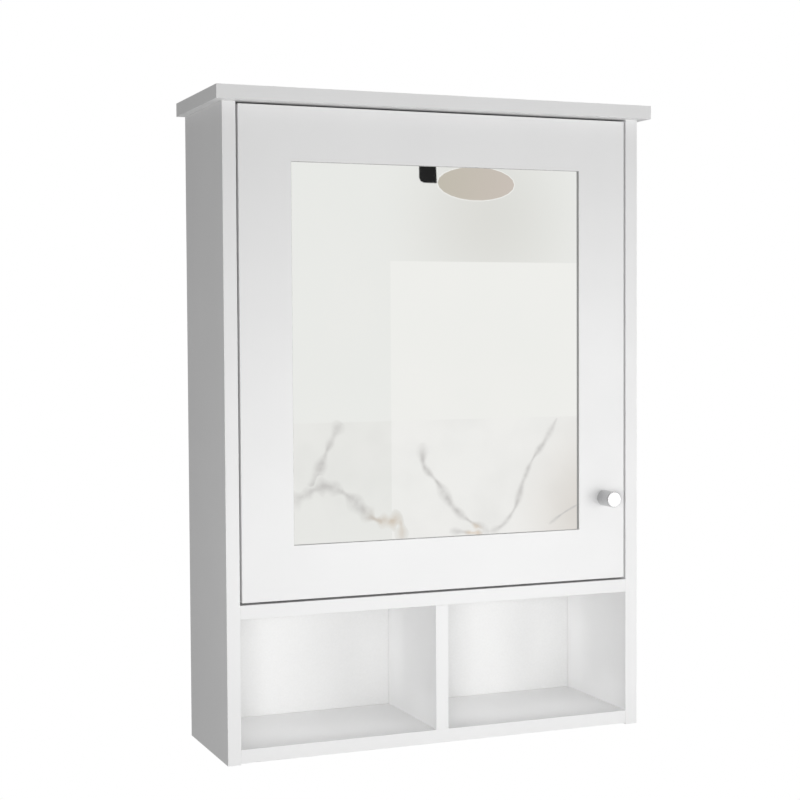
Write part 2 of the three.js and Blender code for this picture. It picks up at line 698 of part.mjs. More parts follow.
for (const [level, z] of hingeHeights) {
  addPart(`${level}_hinge_arm`, atHinge(z, hingeArm()), NICKEL);
  addPart(`${level}_mounting_plate`, atHinge(z, mountingPlate()), NICKEL);
  addPart(`${level}_outer_arm_pin`, atHinge(z, armPin(OUTER_ARM_PIN)), NICKEL);
  addPart(`${level}_inner_arm_pin`, atHinge(z, armPin(INNER_ARM_PIN)), NICKEL);
  addPart(`${level}_outer_link`, atHinge(z, outerLink()), NICKEL);
  addPart(`${level}_inner_link`, atHinge(z, innerLink()), NICKEL);
  addPart(`${level}_hinge_cup`, atHinge(z, hingeCup()), NICKEL);
  addPart(`${level}_cup_pin`, atHinge(z, cupPin()), NICKEL);
  for (const [end, sign] of [['upper', 1], ['lower', -1]]) {
    const plateScrew = [PLATE.thickness + HEAD_LIFT, PLATE_SCREW.v, sign * PLATE_SCREW.z];
    const cupScrew = [CUP_SCREW.u, DOOR_THICKNESS, sign * CUP_SCREW.z];
    addPart(`${level}_plate_screw_${end}`, atHinge(z, screw(PLATE_SCREW, 0, plateScrew, [-1, 0, 0])), NICKEL);
    addPart(`${level}_cup_screw_${end}`,
      atHinge(z, screw(CUP_SCREW, FLANGE_THICKNESS + HEAD_LIFT, cupScrew, INTO_DOOR)), NICKEL);
  }
}

export default cabinet;
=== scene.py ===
"""The looks of a hanging wall cabinet: fine meshes, finishes, studio and camera around its CAD frame.

Metres, +Z up, the front faces -Y. Places come from the frame's boxes and joints. Hinge plan
coordinates (u, v) run from the left panel's inner face into the cabinet and back from the door's front.
"""

import json
import math

import bmesh
import bpy
from mathutils import Matrix, Vector

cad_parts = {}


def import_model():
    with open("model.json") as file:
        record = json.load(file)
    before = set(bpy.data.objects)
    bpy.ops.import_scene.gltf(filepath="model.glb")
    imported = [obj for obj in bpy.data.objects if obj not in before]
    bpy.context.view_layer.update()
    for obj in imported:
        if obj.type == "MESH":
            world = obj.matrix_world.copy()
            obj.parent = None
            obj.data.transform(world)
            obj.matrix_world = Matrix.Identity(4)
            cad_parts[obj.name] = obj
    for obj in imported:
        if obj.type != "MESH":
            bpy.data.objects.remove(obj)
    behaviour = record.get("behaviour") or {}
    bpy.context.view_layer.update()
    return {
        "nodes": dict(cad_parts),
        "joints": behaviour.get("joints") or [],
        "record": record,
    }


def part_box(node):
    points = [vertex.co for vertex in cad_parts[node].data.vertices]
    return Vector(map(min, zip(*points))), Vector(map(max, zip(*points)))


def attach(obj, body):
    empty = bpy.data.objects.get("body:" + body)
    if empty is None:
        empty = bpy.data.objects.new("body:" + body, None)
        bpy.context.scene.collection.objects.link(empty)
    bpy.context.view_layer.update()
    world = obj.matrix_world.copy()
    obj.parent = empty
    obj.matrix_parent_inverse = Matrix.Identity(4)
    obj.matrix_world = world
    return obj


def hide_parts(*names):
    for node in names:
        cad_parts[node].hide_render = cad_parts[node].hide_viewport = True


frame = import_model()

MM = 0.001
ROOM = 0.3 * MM
OVERCUT = 1 * MM
BOARD_ROUND = 0.25 * MM
SHEET_ROUND = 0.3 * MM
SMOOTH_ANGLE = 35
HOLE_SIDES = 32
TURNED_SIDES = 48

X = Vector((1, 0, 0))
Y = Vector((0, 1, 0))
Z = Vector((0, 0, 1))

BODY_OF = {node: body for body, nodes in frame["record"]["behaviour"]["bodies"].items() for node in nodes}
PIVOT = {joint["name"]: Vector(joint["pos_m"]) for joint in frame["joints"]}

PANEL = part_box("left_side_panel")
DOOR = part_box("door_frame")
LEFT_INNER = PANEL[1].x
FRONT = DOOR[0].y
DOOR_REAR = DOOR[1].y


# ---------------------------------------------------------------- finishes

class Finish:
    """A node-based material with short calls for its parts."""

    def __init__(self, name):
        self.material = bpy.data.materials.new(name)
        self.material.use_nodes = True
        self.tree = self.material.node_tree
        self.shader = self.tree.nodes["Principled BSDF"]
        self.place = self.add("TexCoord").outputs["Object"]

    def add(self, kind, settings=None, inputs=None):
        node = self.tree.nodes.new("ShaderNode" + kind)
        for name, value in (settings or {}).items():
            setattr(node, name, value)
        for name, value in (inputs or {}).items():
            self.feed(node.inputs[name], value)
        return node

    def feed(self, socket, value):
        if isinstance(value, bpy.types.NodeSocket):
            self.tree.links.new(value, socket)
        else:
            socket.default_value = value

    def moved(self, scale, offset=(0, 0, 0)):
        inputs = {"Vector": self.place, "Scale": scale, "Location": offset}
        return self.add("Mapping", {}, inputs).outputs["Vector"]

    def noise(self, scale, detail=3.0, stretch=(1, 1, 1), vector=None):
        vector = vector or self.moved([scale * s for s in stretch])
        inputs = {"Vector": vector, "Scale": 1.0, "Detail": detail}
        return self.add("TexNoise", {}, inputs).outputs["Fac"]

    def spread(self, value, low, high, span=(0.3, 0.7)):
        inputs = {"Value": value, "From Min": span[0], "From Max": span[1], "To Min": low, "To Max": high}
        return self.add("MapRange", {}, inputs).outputs["Result"]

    def math(self, operation, a, b=0.0):
        node = self.add("Math", {"operation": operation})
        self.feed(node.inputs[0], a)
        self.feed(node.inputs[1], b)
        return node.outputs[0]

    def blend(self, factor, a, b):
        node = self.add("Mix", {"data_type": "RGBA"})
        self.feed(node.inputs[0], factor)
        self.feed(node.inputs[6], colour(a))
        self.feed(node.inputs[7], colour(b))
        return node.outputs[2]

    def bump(self, height, strength, distance, under=None):
        inputs = {"Height": height, "Strength": strength, "Distance": distance}
        if under:
            inputs["Normal"] = under
        return self.add("Bump", {}, inputs).outputs["Normal"]

    def surface(self, values):
        for name, value in values.items():
            self.feed(self.shader.inputs[name], value)
        return self.material


def colour(value):
    return value if isinstance(value, bpy.types.NodeSocket) else (*value, 1.0)


def mottled(name, shades, roughness, bump, tone, sheen=None, relief=None, metallic=0.0, contrast=True):
    """A finish in two shades. Its tone, sheen and relief are noises: (scale, detail, stretch).

    roughness is a range and follows the sheen, and bump is (strength, distance) and follows the relief.
    Without a sheen or relief of their own they follow the tone.
    """
    finish = Finish(name)
    tone = finish.noise(*tone)
    sheen = finish.noise(*sheen) if sheen else tone
    relief = finish.noise(*relief) if relief else tone
    return finish.surface({
        "Base Color": finish.blend(finish.spread(tone, 0, 1) if contrast else tone, *shades),
        "Metallic": metallic,
        "Roughness": finish.spread(sheen, *roughness),
        "Normal": finish.bump(relief, *bump),
    })


def white_foil(name, tint, roughness):
    """Satin white foil over board: a faint orange peel, soft unevenness and slightly rubbed edges."""
    finish = Finish(name)
    drift = finish.spread(finish.noise(7, 2), 0, 1)
    base = finish.blend(drift, [c * 0.975 for c in tint], tint)
    edge = finish.add("Attribute", {"attribute_name": "edge"}).outputs["Fac"]
    rubbed = finish.math("MULTIPLY", edge, finish.spread(finish.noise(90, 5), 0, 0.45, (0.5, 0.75)))
    smudge = finish.noise(24, 5)
    peel = finish.bump(finish.noise(1100, 2), 0.16, 0.05 * MM)
    return finish.surface({
        "Base Color": finish.blend(rubbed, base, (0.60, 0.57, 0.52)),
        "Roughness": finish.spread(smudge, roughness - 0.05, roughness + 0.07),
        "Normal": finish.bump(finish.noise(16, 2), 0.25, 0.25 * MM, peel),
        "Coat Weight": 0.12,
        "Coat Roughness": 0.22,
    })


def screen_hardboard():
    """The rough rear side of hardboard, with the mark of the wire screen that it was pressed on."""
    finish = Finish("brown_hardboard")
    weave_scale = 190.0
    bands = [
        finish.add("TexWave", {"bands_direction": axis}, {
            "Vector": finish.place, "Scale": weave_scale, "Distortion": 0.6, "Detail": 1.0,
        }).outputs["Fac"]
        for axis in ("X", "Z")
    ]
    screen = finish.math("MULTIPLY", bands[0], bands[1])
    fibre = finish.noise(300, 7)
    mottle = finish.spread(finish.noise(14, 4), 0, 1)
    dark = finish.blend(mottle, (0.17, 0.098, 0.052), (0.235, 0.145, 0.083))
    tone = finish.math("MULTIPLY", finish.spread(fibre, 0.1, 0.9), finish.spread(screen, 1, 0.35, (0, 1)))
    return finish.surface({
        "Base Color": finish.blend(tone, dark, (0.36, 0.235, 0.14)),
        "Roughness": finish.spread(fibre, 0.72, 0.92),
        "Normal": finish.bump(screen, 0.5, 0.2 * MM, finish.bump(fibre, 0.35, 0.15 * MM)),
    })


def satin_metal(name, centre):
    """Satin metal with fine turning lines round a centre that lies along Y."""
    finish = Finish(name)
    local = finish.add("SeparateXYZ", {}, {"Vector": finish.moved((1, 1, 1), -centre)}).outputs
    squares = [finish.math("MULTIPLY", local[axis], local[axis]) for axis in ("X", "Z")]
    radius = finish.math("SQRT", finish.math("ADD", *squares))
    rings = finish.add("CombineXYZ", {}, {"X": radius, "Y": local["Y"]}).outputs["Vector"]
    fine = finish.add("TexNoise", {}, {"Vector": rings, "Scale": 5200.0, "Detail": 3.0}).outputs["Fac"]
    haze = finish.noise(180, 4)
    return finish.surface({
        "Base Color": finish.blend(finish.spread(fine, 0, 1), (0.50, 0.50, 0.505), (0.62, 0.62, 0.625)),
        "Metallic": 1.0,
        "Roughness": finish.spread(haze, 0.20, 0.28),
        "Anisotropic": 0.4,
        "Normal": finish.bump(fine, 0.12, 0.02 * MM),
    })


WHITE = (0.925, 0.925, 0.925)
FOIL = white_foil("white_foil", WHITE, 0.42)
DOOR_FOIL = white_foil("white_door_foil", WHITE, 0.38)
# A grey foil for the inner walls of the mirror's opening: painted shade.
LIP_PAINTED_SHADE = white_foil("lip_painted_shade_foil", (0.62, 0.62, 0.61), 0.5)
# Cut medium-density fibreboard, as seen inside the drilled holes and grooves.
CORE = mottled("raw_core", [(0.36, 0.25, 0.15), (0.52, 0.39, 0.26)], roughness=(0.75, 0.95),
               bump=(0.5, 0.15 * MM), tone=(700, 6, (1, 1, 0.35)))
# The white painted, smooth side of the back panel.
PAINTED = mottled("white_hardboard", [(0.835, 0.835, 0.83), (0.865, 0.865, 0.862)], roughness=(0.42, 0.58),
                  bump=(0.12, 0.06 * MM), tone=(420, 5), sheen=(40, 4))
SCREEN = screen_hardboard()
# The mirror's face is a clear silver with a trace of haze.
SILVER = mottled("mirror_glass", [(0.925, 0.937, 0.928), (0.94, 0.945, 0.938)], roughness=(0.0, 0.02),
                 bump=(0.02, 0.1 * MM), tone=(9, 5), relief=(3, 1), metallic=1.0)
GROUND_EDGE = mottled("mirror_edge", [(0.32, 0.50, 0.43), (0.50, 0.66, 0.60)], roughness=(0.2, 0.4),
                      bump=(0.2, 0.05 * MM), tone=(2500, 3), contrast=False)
MIRROR_PAINT = mottled("mirror_back", [(0.16, 0.18, 0.185), (0.22, 0.245, 0.25)], roughness=(0.45, 0.65),
                       bump=(0.2, 0.05 * MM), tone=(180, 4), contrast=False)
# Nickel plate over pressed steel: bright, with drawn lines and a little haze.
NICKEL = mottled("nickel_steel", [(0.60, 0.59, 0.565), (0.74, 0.735, 0.72)], roughness=(0.2, 0.36),
                 bump=(0.12, 0.03 * MM), tone=(160, 5), relief=(1, 4, (300, 300, 2600)), metallic=1.0)
ZINC = mottled("zinc", [(0.40, 0.405, 0.415), (0.56, 0.565, 0.575)], roughness=(0.38, 0.58),
               bump=(0.3, 0.06 * MM), tone=(240, 4), sheen=(1500, 4), relief=(1500, 4), metallic=1.0)
BEECH = mottled("beech", [(0.47, 0.30, 0.155), (0.66, 0.46, 0.27)], roughness=(0.55, 0.75),
                bump=(0.35, 0.1 * MM), tone=(1, 6, (500, 900, 900)))


# ---------------------------------------------------------------- mesh helpers

def placed(name, data):
    """A new object in the scene."""
    thing = bpy.data.objects.new(name, data)
    bpy.context.scene.collection.objects.link(thing)
    return thing


def open_mesh(bm):
    mesh = bpy.data.meshes.new("part")
    bm.to_mesh(mesh)
    bm.free()
    return mesh


def mesh_from(bm):
    """A closed mesh whose faces look outward."""
    bmesh.ops.recalc_face_normals(bm, faces=bm.faces)
    return open_mesh(bm)


def bridge(bm, rings):
    """Faces between each ring of corners and the next. A ring of one corner is a tip."""
    for a, b in zip(rings, rings[1:]):
        sides = max(len(a), len(b))
        for i in range(sides):
            j = (i + 1) % sides
            corners = [a[i % len(a)], a[j % len(a)], b[j % len(b)], b[i % len(b)]]
            bm.faces.new(dict.fromkeys(corners))


def block(low, high, rounding=0.0):
    """A box between two corners, with rounded edges."""
    low, high = Vector(low), Vector(high)
    bm = bmesh.new()
    size = Matrix.Diagonal((*(high - low), 1))
    bmesh.ops.create_cube(bm, size=1, matrix=Matrix.Translation((low + high) / 2) @ size)
    if rounding:
        bmesh.ops.bevel(bm, geom=bm.edges, offset=rounding, segments=3, profile=0.5, affect="EDGES")
    return mesh_from(bm)


def lathe(profile, start, axis, sides=TURNED_SIDES, flute=0.0):
    """A turned solid from a profile of (radius, distance along axis), which starts and ends on the axis.

    flute pulls in every third side.
    """
    turn = Z.rotation_difference(axis).to_matrix()
    bm = bmesh.new()
    rings = []
    for radius, distance in profile:
        corners = []
        for i in range(sides if radius else 1):
            angle = 2 * math.pi * i / sides
            reach = radius - (flute if i % 3 == 0 else 0)
            corners.append(bm.verts.new(start + turn @ Vector((
                reach * math.cos(angle), reach * math.sin(angle), distance,
            ))))
        rings.append(corners)
    bridge(bm, rings)
    return mesh_from(bm)


def rod(start, axis, span, radius, sides=HOLE_SIDES, flare=0.0):
    """A round rod between two distances along axis. flare widens its low end, as a countersink does."""
    low, high = span
    profile = [(0, low), (radius, low), (radius, high), (0, high)]
    if flare:
        profile = [(0, low), (radius + flare - low, low), (radius, flare), (radius, high), (0, high)]
    return lathe(profile, start, axis, sides)


def prism(outline, direction, span):
    """A flat outline of points pushed between two distances along a direction."""
    bm = bmesh.new()
    ends = [[bm.verts.new(point + direction * distance) for point in outline] for distance in span]
    for end in ends:
        bm.faces.new(end)
    bridge(bm, ends)
    return mesh_from(bm)


def heading(path, i):
    """The way a path of points runs at its point i."""
    return (path[min(i + 1, len(path) - 1)] - path[max(i - 1, 0)]).normalized()


def wire(path, radius, sides=20):
    """A round wire along a path of points, with flat ends."""
    bm = bmesh.new()
    angles = [2 * math.pi * k / sides for k in range(sides)]
    rings = []
    for i, point in enumerate(path):
        turn = Z.rotation_difference(heading(path, i)).to_matrix()
        rings.append([
            bm.verts.new(point + turn @ Vector((radius * math.cos(a), radius * math.sin(a), 0)))
            for a in angles
        ])
    bridge(bm, rings)
    bm.faces.new(rings[0])
    bm.faces.new(rings[-1])
    return mesh_from(bm)


def combined(base, tools, operation="DIFFERENCE"):
    """The base mesh cut by, or joined with, each tool mesh in turn."""
    target = placed("base", base)
    helpers = [placed("tool", tool) for tool in tools]
    for helper in helpers:
        step = target.modifiers.new("step", "BOOLEAN")
        step.operation = operation
        step.solver = "EXACT"
        step.object = helper
    depsgraph = bpy.context.evaluated_depsgraph_get()
    result = bpy.data.meshes.new_from_object(target.evaluated_get(depsgraph))
    for helper in [target, *helpers]:
        bpy.data.objects.remove(helper)
    return result


def refined(node, rounding):
    """A CAD node's own shape with its sharp edges rounded."""
    bm = bmesh.new()
    bm.from_mesh(frame["nodes"][node].data)
    bmesh.ops.remove_doubles(bm, verts=bm.verts, dist=0.001 * MM)
    bmesh.ops.dissolve_limit(bm, angle_limit=math.radians(1), verts=bm.verts, edges=bm.edges)
    sharp = [edge for edge in bm.edges if edge.calc_face_angle(0) > math.radians(50)]
    bmesh.ops.bevel(bm, geom=sharp, offset=rounding, segments=2, profile=0.5, affect="EDGES",
                    clamp_overlap=True)
    return mesh_from(bm)


def inside(point, low, high, margin=0.0):
    return all(low[axis] - margin < point[axis] < high[axis] + margin for axis in range(3))


def mark_edges(mesh, node):
    """Notes on each face whether it belongs to a rounded outer edge, for the finish to wear."""
    low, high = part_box(node)
    edge = mesh.attributes.new("edge", "FLOAT", "FACE")
    values = []
    for face in mesh.polygons:
        oblique = max(abs(component) for component in face.normal) < 0.995
        outer = not inside(face.center, low, high, -BOARD_ROUND)
        values.append(1.0 if oblique and outer else 0.0)
    edge.data.foreach_set("value", values)


def show(node, mesh, finishes, choose=None):
    """Puts a fine mesh in a CAD node's place. choose says which finish each face takes."""
    for finish in finishes:
        mesh.materials.append(finish)
    if choose:
        mesh.polygons.foreach_set("material_index", [choose(face) for face in mesh.polygons])
    mesh.polygons.foreach_set("use_smooth", [True] * len(mesh.polygons))
    mesh.set_sharp_from_angle(angle=math.radians(SMOOTH_ANGLE))
    mesh.update()
    piece = placed(f"{node}_finished", mesh)
    weighted = piece.modifiers.new("flat faces stay flat", "WEIGHTED_NORMAL")
    weighted.keep_sharp = True
    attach(piece, BODY_OF[node])
    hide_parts(node)


def centre_of(node):
    low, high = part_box(node)
    return (low + high) / 2


def on_face(node, y):
    """A node's centre, moved along Y to a face."""
    place = centre_of(node)
    return Vector((place.x, y, place.z))


def length_of(node, axis):
    low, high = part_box(node)
    return abs((high - low).dot(axis))


def main_axis(vector):
    """The signed axis that a vector mostly runs along."""
    largest = max(range(3), key=lambda axis: abs(vector[axis]))
    return Vector([math.copysign(1, vector[axis]) if axis == largest else 0 for axis in range(3)])


def quarter(centre, radius, start, steps=4):
    """Profile points of a quarter round about (radius, distance) centre, turning on by 90 degrees."""
    angles = [math.radians(start + 90 * i / steps) for i in range(steps + 1)]
    return [(centre[0] + radius * math.cos(a), centre[1] + radius * math.sin(a)) for a in angles]


# ---------------------------------------------------------------- knock-down fittings

CAM_FROM_JOINT = 24 * MM
CAM_RADIUS = 7.3 * MM
CAM_SPAN = (-4.8 * MM, 7.2 * MM)
CAM_RIM = 0.9 * MM
CAM_RECESS = 0.4 * MM
CAM_SLOT = {"half_length": 3.6 * MM, "half_width": 0.75 * MM, "depth": 2.0 * MM}
THREAD_LENGTH = 10.4 * MM
THREAD_RADIUS = 2.4 * MM
THREAD_PITCH = 1.3 * MM
THREAD_CUT = 0.55 * MM
COLLAR_RADIUS = 3.6 * MM
COLLAR_SPAN = (0.3 * MM, 15.5 * MM)
NECK_RADIUS = 2 * MM
BOLT_HEAD_RADIUS = 3.2 * MM
BOLT_HEAD_SPAN = (21.9 * MM, 24.3 * MM)
DOWEL_RADIUS = 4 * MM
DOWEL_FLUTE = 0.25 * MM
DOWEL_EDGE = 0.8 * MM

JOINTS = sorted(node.removeprefix("cam_lock_") for node in frame["nodes"] if node.startswith("cam_lock_"))


def joint_place(name):
    """A joint's point on the joint plane, the way its bolt runs in, and the way its cam faces."""
    middle = centre_of(f"cam_bolt_{name}")
    to_cam = centre_of(f"cam_lock_{name}") - middle
    inward = main_axis(to_cam)
    start = middle + inward * (THREAD_LENGTH - length_of(f"cam_bolt_{name}", inward) / 2)
    cam_face = main_axis(to_cam - inward * to_cam.dot(inward))
    return start, inward, cam_face


def boards_joined(name):
    """The board that holds the joint's cam, and the board that holds its bolt's thread."""
    level, side = name.split("_")
    panel = f"{side}_side_panel"
    return {
        "top": (panel, "top_board"),
        "shelf": ("middle_shelf", panel),
        "bottom": ("bottom_board", panel),
    }[level]


def drillings(board):
    """Cutters for the holes of every knock-down joint on a board."""
    cutters = []
    for name in JOINTS:
        holder, mate = boards_joined(name)
        start, inward, cam_face = joint_place(name)
        if board == holder:
            cam = start + inward * CAM_FROM_JOINT
            cutters.append(rod(cam, cam_face, (CAM_SPAN[0] - ROOM, CAM_SPAN[1] + OVERCUT), CAM_RADIUS + ROOM))
            bore = (-OVERCUT, CAM_FROM_JOINT - CAM_RADIUS / 2)
            cutters.append(rod(start, inward, bore, COLLAR_RADIUS + ROOM))
        if board == mate:
            cutters.append(rod(start, inward, (-THREAD_LENGTH - ROOM, OVERCUT), THREAD_RADIUS + ROOM))
        if board in (holder, mate):
            half = length_of(f"dowel_{name}", inward) / 2 + ROOM
            cutters.append(rod(centre_of(f"dowel_{name}"), inward, (-half, half), DOWEL_RADIUS + ROOM))
    return cutters


def thread(radius, start, end):
    """Profile points of a thread between two distances, as one ridge for each turn."""
    turns = max(1, round(abs(end - start) / THREAD_PITCH))
    step = (end - start) / turns
    ridge = ((THREAD_CUT, 0.1), (0, 0.5), (THREAD_CUT, 0.9))
    return [(radius - cut, start + step * (i + way)) for i in range(turns) for cut, way in ridge]


def cam_bolt(name):
    """The bolt that a cam pulls: a thread, a collar, a thin neck and a round head."""
    start, inward, _ = joint_place(name)
    profile = [(0, -THREAD_LENGTH), (THREAD_RADIUS - THREAD_CUT, -THREAD_LENGTH)]
    profile += thread(THREAD_RADIUS, -THREAD_LENGTH, COLLAR_SPAN[0])
    profile += [
        (COLLAR_RADIUS, COLLAR_SPAN[0]), (COLLAR_RADIUS, COLLAR_SPAN[1] - ROOM),
        (COLLAR_RADIUS - ROOM, COLLAR_SPAN[1]), (NECK_RADIUS, COLLAR_SPAN[1]),
        (NECK_RADIUS, BOLT_HEAD_SPAN[0]), (BOLT_HEAD_RADIUS - ROOM, BOLT_HEAD_SPAN[0]),
        (BOLT_HEAD_RADIUS, BOLT_HEAD_SPAN[0] + ROOM), (BOLT_HEAD_RADIUS, BOLT_HEAD_SPAN[1] - ROOM),
        (BOLT_HEAD_RADIUS - ROOM, BOLT_HEAD_SPAN[1]), (0, BOLT_HEAD_SPAN[1]),
    ]
    return lathe(profile, start, inward, 24)


def cross_cutter(centre, along, outward, half_length, half_width, depth):
    """Two crossing slots that taper towards the bottom, for a driver."""
    mouth = half_length * 1.1
    foot = half_length * 0.65
    corners = ((mouth, OVERCUT), (-mouth, OVERCUT), (-foot, -depth), (foot, -depth))
    across = outward.cross(along)
    slots = []
    for length_axis, width_axis in ((along, across), (across, along)):
        outline = [centre + length_axis * reach + outward * height for reach, height in corners]
        slots.append(prism(outline, width_axis, (-half_width, half_width)))
    return slots


def cam_lock(name):
    """The round cam, open for the bolt's neck and head, with a driver's cross in its rimmed face."""
    start, inward, cam_face = joint_place(name)
    centre = start + inward * CAM_FROM_JOINT
    low, high = CAM_SPAN
    face = high - CAM_RECESS
    inner = CAM_RADIUS - CAM_RIM
    body = lathe([
        (0, low), (CAM_RADIUS - ROOM, low), (CAM_RADIUS, low + ROOM), (CAM_RADIUS, high - ROOM),
        (CAM_RADIUS - ROOM, high), (inner, high), (inner - ROOM, face), (0, face),
    ], centre, cam_face)
    bolt_end = BOLT_HEAD_SPAN[1] + ROOM
    throat = rod(start, inward, (CAM_FROM_JOINT - CAM_RADIUS - OVERCUT, bolt_end), NECK_RADIUS + ROOM)
    pocket = rod(start, inward, (BOLT_HEAD_SPAN[0] - ROOM, bolt_end), BOLT_HEAD_RADIUS + ROOM)
    slots = cross_cutter(centre + cam_face * face, cam_face.cross(inward), cam_face, **CAM_SLOT)
    return combined(body, [throat, pocket, *slots])


def dowel(name):
    """A fluted dowel with chamfered ends."""
    _, inward, _ = joint_place(name)
    half = length_of(f"dowel_{name}", inward) / 2
    tip = DOWEL_RADIUS - DOWEL_EDGE
    profile = [(0, -half), (tip, -half), (DOWEL_RADIUS, DOWEL_EDGE - half), (DOWEL_RADIUS, half - DOWEL_EDGE),
               (tip, half), (0, half)]
    return lathe(profile, centre_of(f"dowel_{name}"), inward, 36, DOWEL_FLUTE)


for joint_name in JOINTS:
    show(f"cam_lock_{joint_name}", cam_lock(joint_name), [ZINC])
    show(f"cam_bolt_{joint_name}", cam_bolt(joint_name), [ZINC])
    show(f"dowel_{joint_name}", dowel(joint_name), [BEECH])


# ---------------------------------------------------------------- boards

PIN_PITCH = 32 * MM
PIN_HOLE_RADIUS = 2.75 * MM
PIN_HOLE_DEPTH = 9 * MM
PIN_STEM = 2.5 * MM
PIN_TIP_ROUND = 0.7 * MM
PIN_COLLAR_EDGE = 0.2 * MM
PIN_COLLAR_THICKNESS = 0.8 * MM
HOLE_EDGE = 0.25 * MM
HANGING_HOLE_X = 150 * MM
HANGING_HOLE_RADIUS = {"hanging_rail": 2.75 * MM, "back_panel": 3.5 * MM}
GROOVE_ROOM = 0.5 * MM
PILOT = {"radius": 1.9 * MM, "depth": 10.9 * MM}
KNOB_PILOT = {"radius": 2.3 * MM, "depth": 16 * MM}
TENON = {"half_width": 4.5 * MM, "height": 2.5 * MM, "from_end": 12 * MM}

SHELF_PINS = sorted(node for node in frame["nodes"] if node.startswith("shelf_pin_"))
PLATE_SCREWS = sorted(node for node in frame["nodes"] if "plate_screw" in node)
CUP_SCREWS = sorted(node for node in frame["nodes"] if "cup_screw" in node)


def back_groove():
    """The room that the back panel needs in the boards round it."""
    low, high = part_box("back_panel")
    room = Vector((GROOVE_ROOM, ROOM, GROOVE_ROOM))
    return block(low - room, high + room)


def tenons(room=0.0):
    """The divider's stub tenons, or their slots when room is given."""
    low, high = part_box("cubby_divider")
    shoulder = TENON["height"]
    half = TENON["half_width"] + room
    depth = (low.y + TENON["from_end"] - room, high.y - TENON["from_end"] + room)
    bottom = (low.z - room, low.z + shoulder + OVERCUT)
    top = (high.z - shoulder - OVERCUT, high.z + room)
    return [block((-half, depth[0], z[0]), (half, depth[1], z[1])) for z in (bottom, top)]


def pin_holes(side):
    """The rows of holes that let the loose shelf stand at three heights."""
    outward = -X if side == "left" else X
    face = LEFT_INNER if side == "left" else -LEFT_INNER
    holes = []
    span = (-OVERCUT, PIN_HOLE_DEPTH)
    for pin in SHELF_PINS:
        if f"_{side}_" in pin:
            place = centre_of(pin)
            for level in (-1, 0, 1):
                mouth = Vector((face, place.y, place.z + level * PIN_PITCH))
                holes.append(rod(mouth, outward, span, PIN_HOLE_RADIUS, flare=HOLE_EDGE))
    return holes


def screw_holes(screws, axis, face, radius, depth):
    """Pilot holes for screws that run along axis into a face."""
    holes = []
    for screw_node in screws:
        place = centre_of(screw_node)
        mouth = place - axis * (place - face).dot(axis)
        holes.append(rod(mouth, axis, (-OVERCUT, depth), radius, 24))
    return holes


def hanging_holes(node):
    """The bores of the two wall screws through a board."""
    low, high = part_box(node)
    rail_z = centre_of("hanging_rail").z
    span = (-OVERCUT, high.y - low.y + OVERCUT)
    return [rod(Vector((x, low.y, rail_z)), Y, span, HANGING_HOLE_RADIUS[node], flare=HOLE_EDGE)
            for x in (-HANGING_HOLE_X, HANGING_HOLE_X)]


def show_board(node, cutters):
    """A foil-covered board whose holes and grooves show its raw core."""
    low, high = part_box(node)
    mesh = combined(block(low, high, BOARD_ROUND), cutters)
    mark_edges(mesh, node)
    show(node, mesh, [FOIL, CORE],
         lambda face: int(inside(face.center, low, high, -1.2 * BOARD_ROUND)))


def show_side_panel(side):
    node = f"{side}_side_panel"
    screws = PLATE_SCREWS if side == "left" else []
    pilots = screw_holes(screws, -X, Vector((LEFT_INNER, 0, 0)), **PILOT)
    show_board(node, [back_groove(), *drillings(node), *pin_holes(side), *pilots])


def show_divider():
    """The cubbies' divider, with a raw stub tenon at each end."""
    low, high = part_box("cubby_divider")
    shoulder = Z * TENON["height"]
    mesh = combined(block(low + shoulder, high - shoulder, BOARD_ROUND / 2), tenons(), "UNION")
    mark_edges(mesh, "cubby_divider")
    foil_z = (low.z + shoulder.z * 0.99, high.z - shoulder.z * 0.99)
    show("cubby_divider", mesh, [FOIL, CORE],
         lambda face: int(not foil_z[0] < face.center.z < foil_z[1]))


def show_back_panel():
    """The hardboard back, painted on its front side."""
    mesh = combined(block(*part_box("back_panel"), SHEET_ROUND), hanging_holes("back_panel"))
    show("back_panel", mesh, [PAINTED, SCREEN],
         lambda face: int(face.normal.y > -0.5))


def shelf_pin(node):
    """A pin with rounded ends and a collar that rests against the side panel."""
    low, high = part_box(node)
    half = (high.x - low.x) / 2
    collar = (high.z - low.z) / 2
    stem = PIN_STEM
    core = stem - PIN_TIP_ROUND
    edge = PIN_COLLAR_EDGE
    back = PIN_COLLAR_THICKNESS
    profile = [(0, -half), *quarter((core, PIN_TIP_ROUND - half), PIN_TIP_ROUND, -90),
               (stem, 0), (collar - edge, 0), (collar, edge), (collar, back - edge), (collar - edge, back),
               (stem, back), *quarter((core, half - PIN_TIP_ROUND), PIN_TIP_ROUND, 0), (0, half)]
    return lathe(profile, centre_of(node), X if low.x < 0 else -X, 32)


show_board("top_board", [back_groove(), *drillings("top_board")])
show_side_panel("left")
show_side_panel("right")
show_board("middle_shelf", [*tenons(ROOM), *drillings("middle_shelf")])
show_board("bottom_board", [back_groove(), *tenons(ROOM), *drillings("bottom_board")])
show_board("hanging_rail", hanging_holes("hanging_rail"))
show_board("adjustable_shelf", [])
show_divider()
show_back_panel()
for pin_node in SHELF_PINS:
    show(pin_node, shelf_pin(pin_node), [NICKEL])


# ---------------------------------------------------------------- door

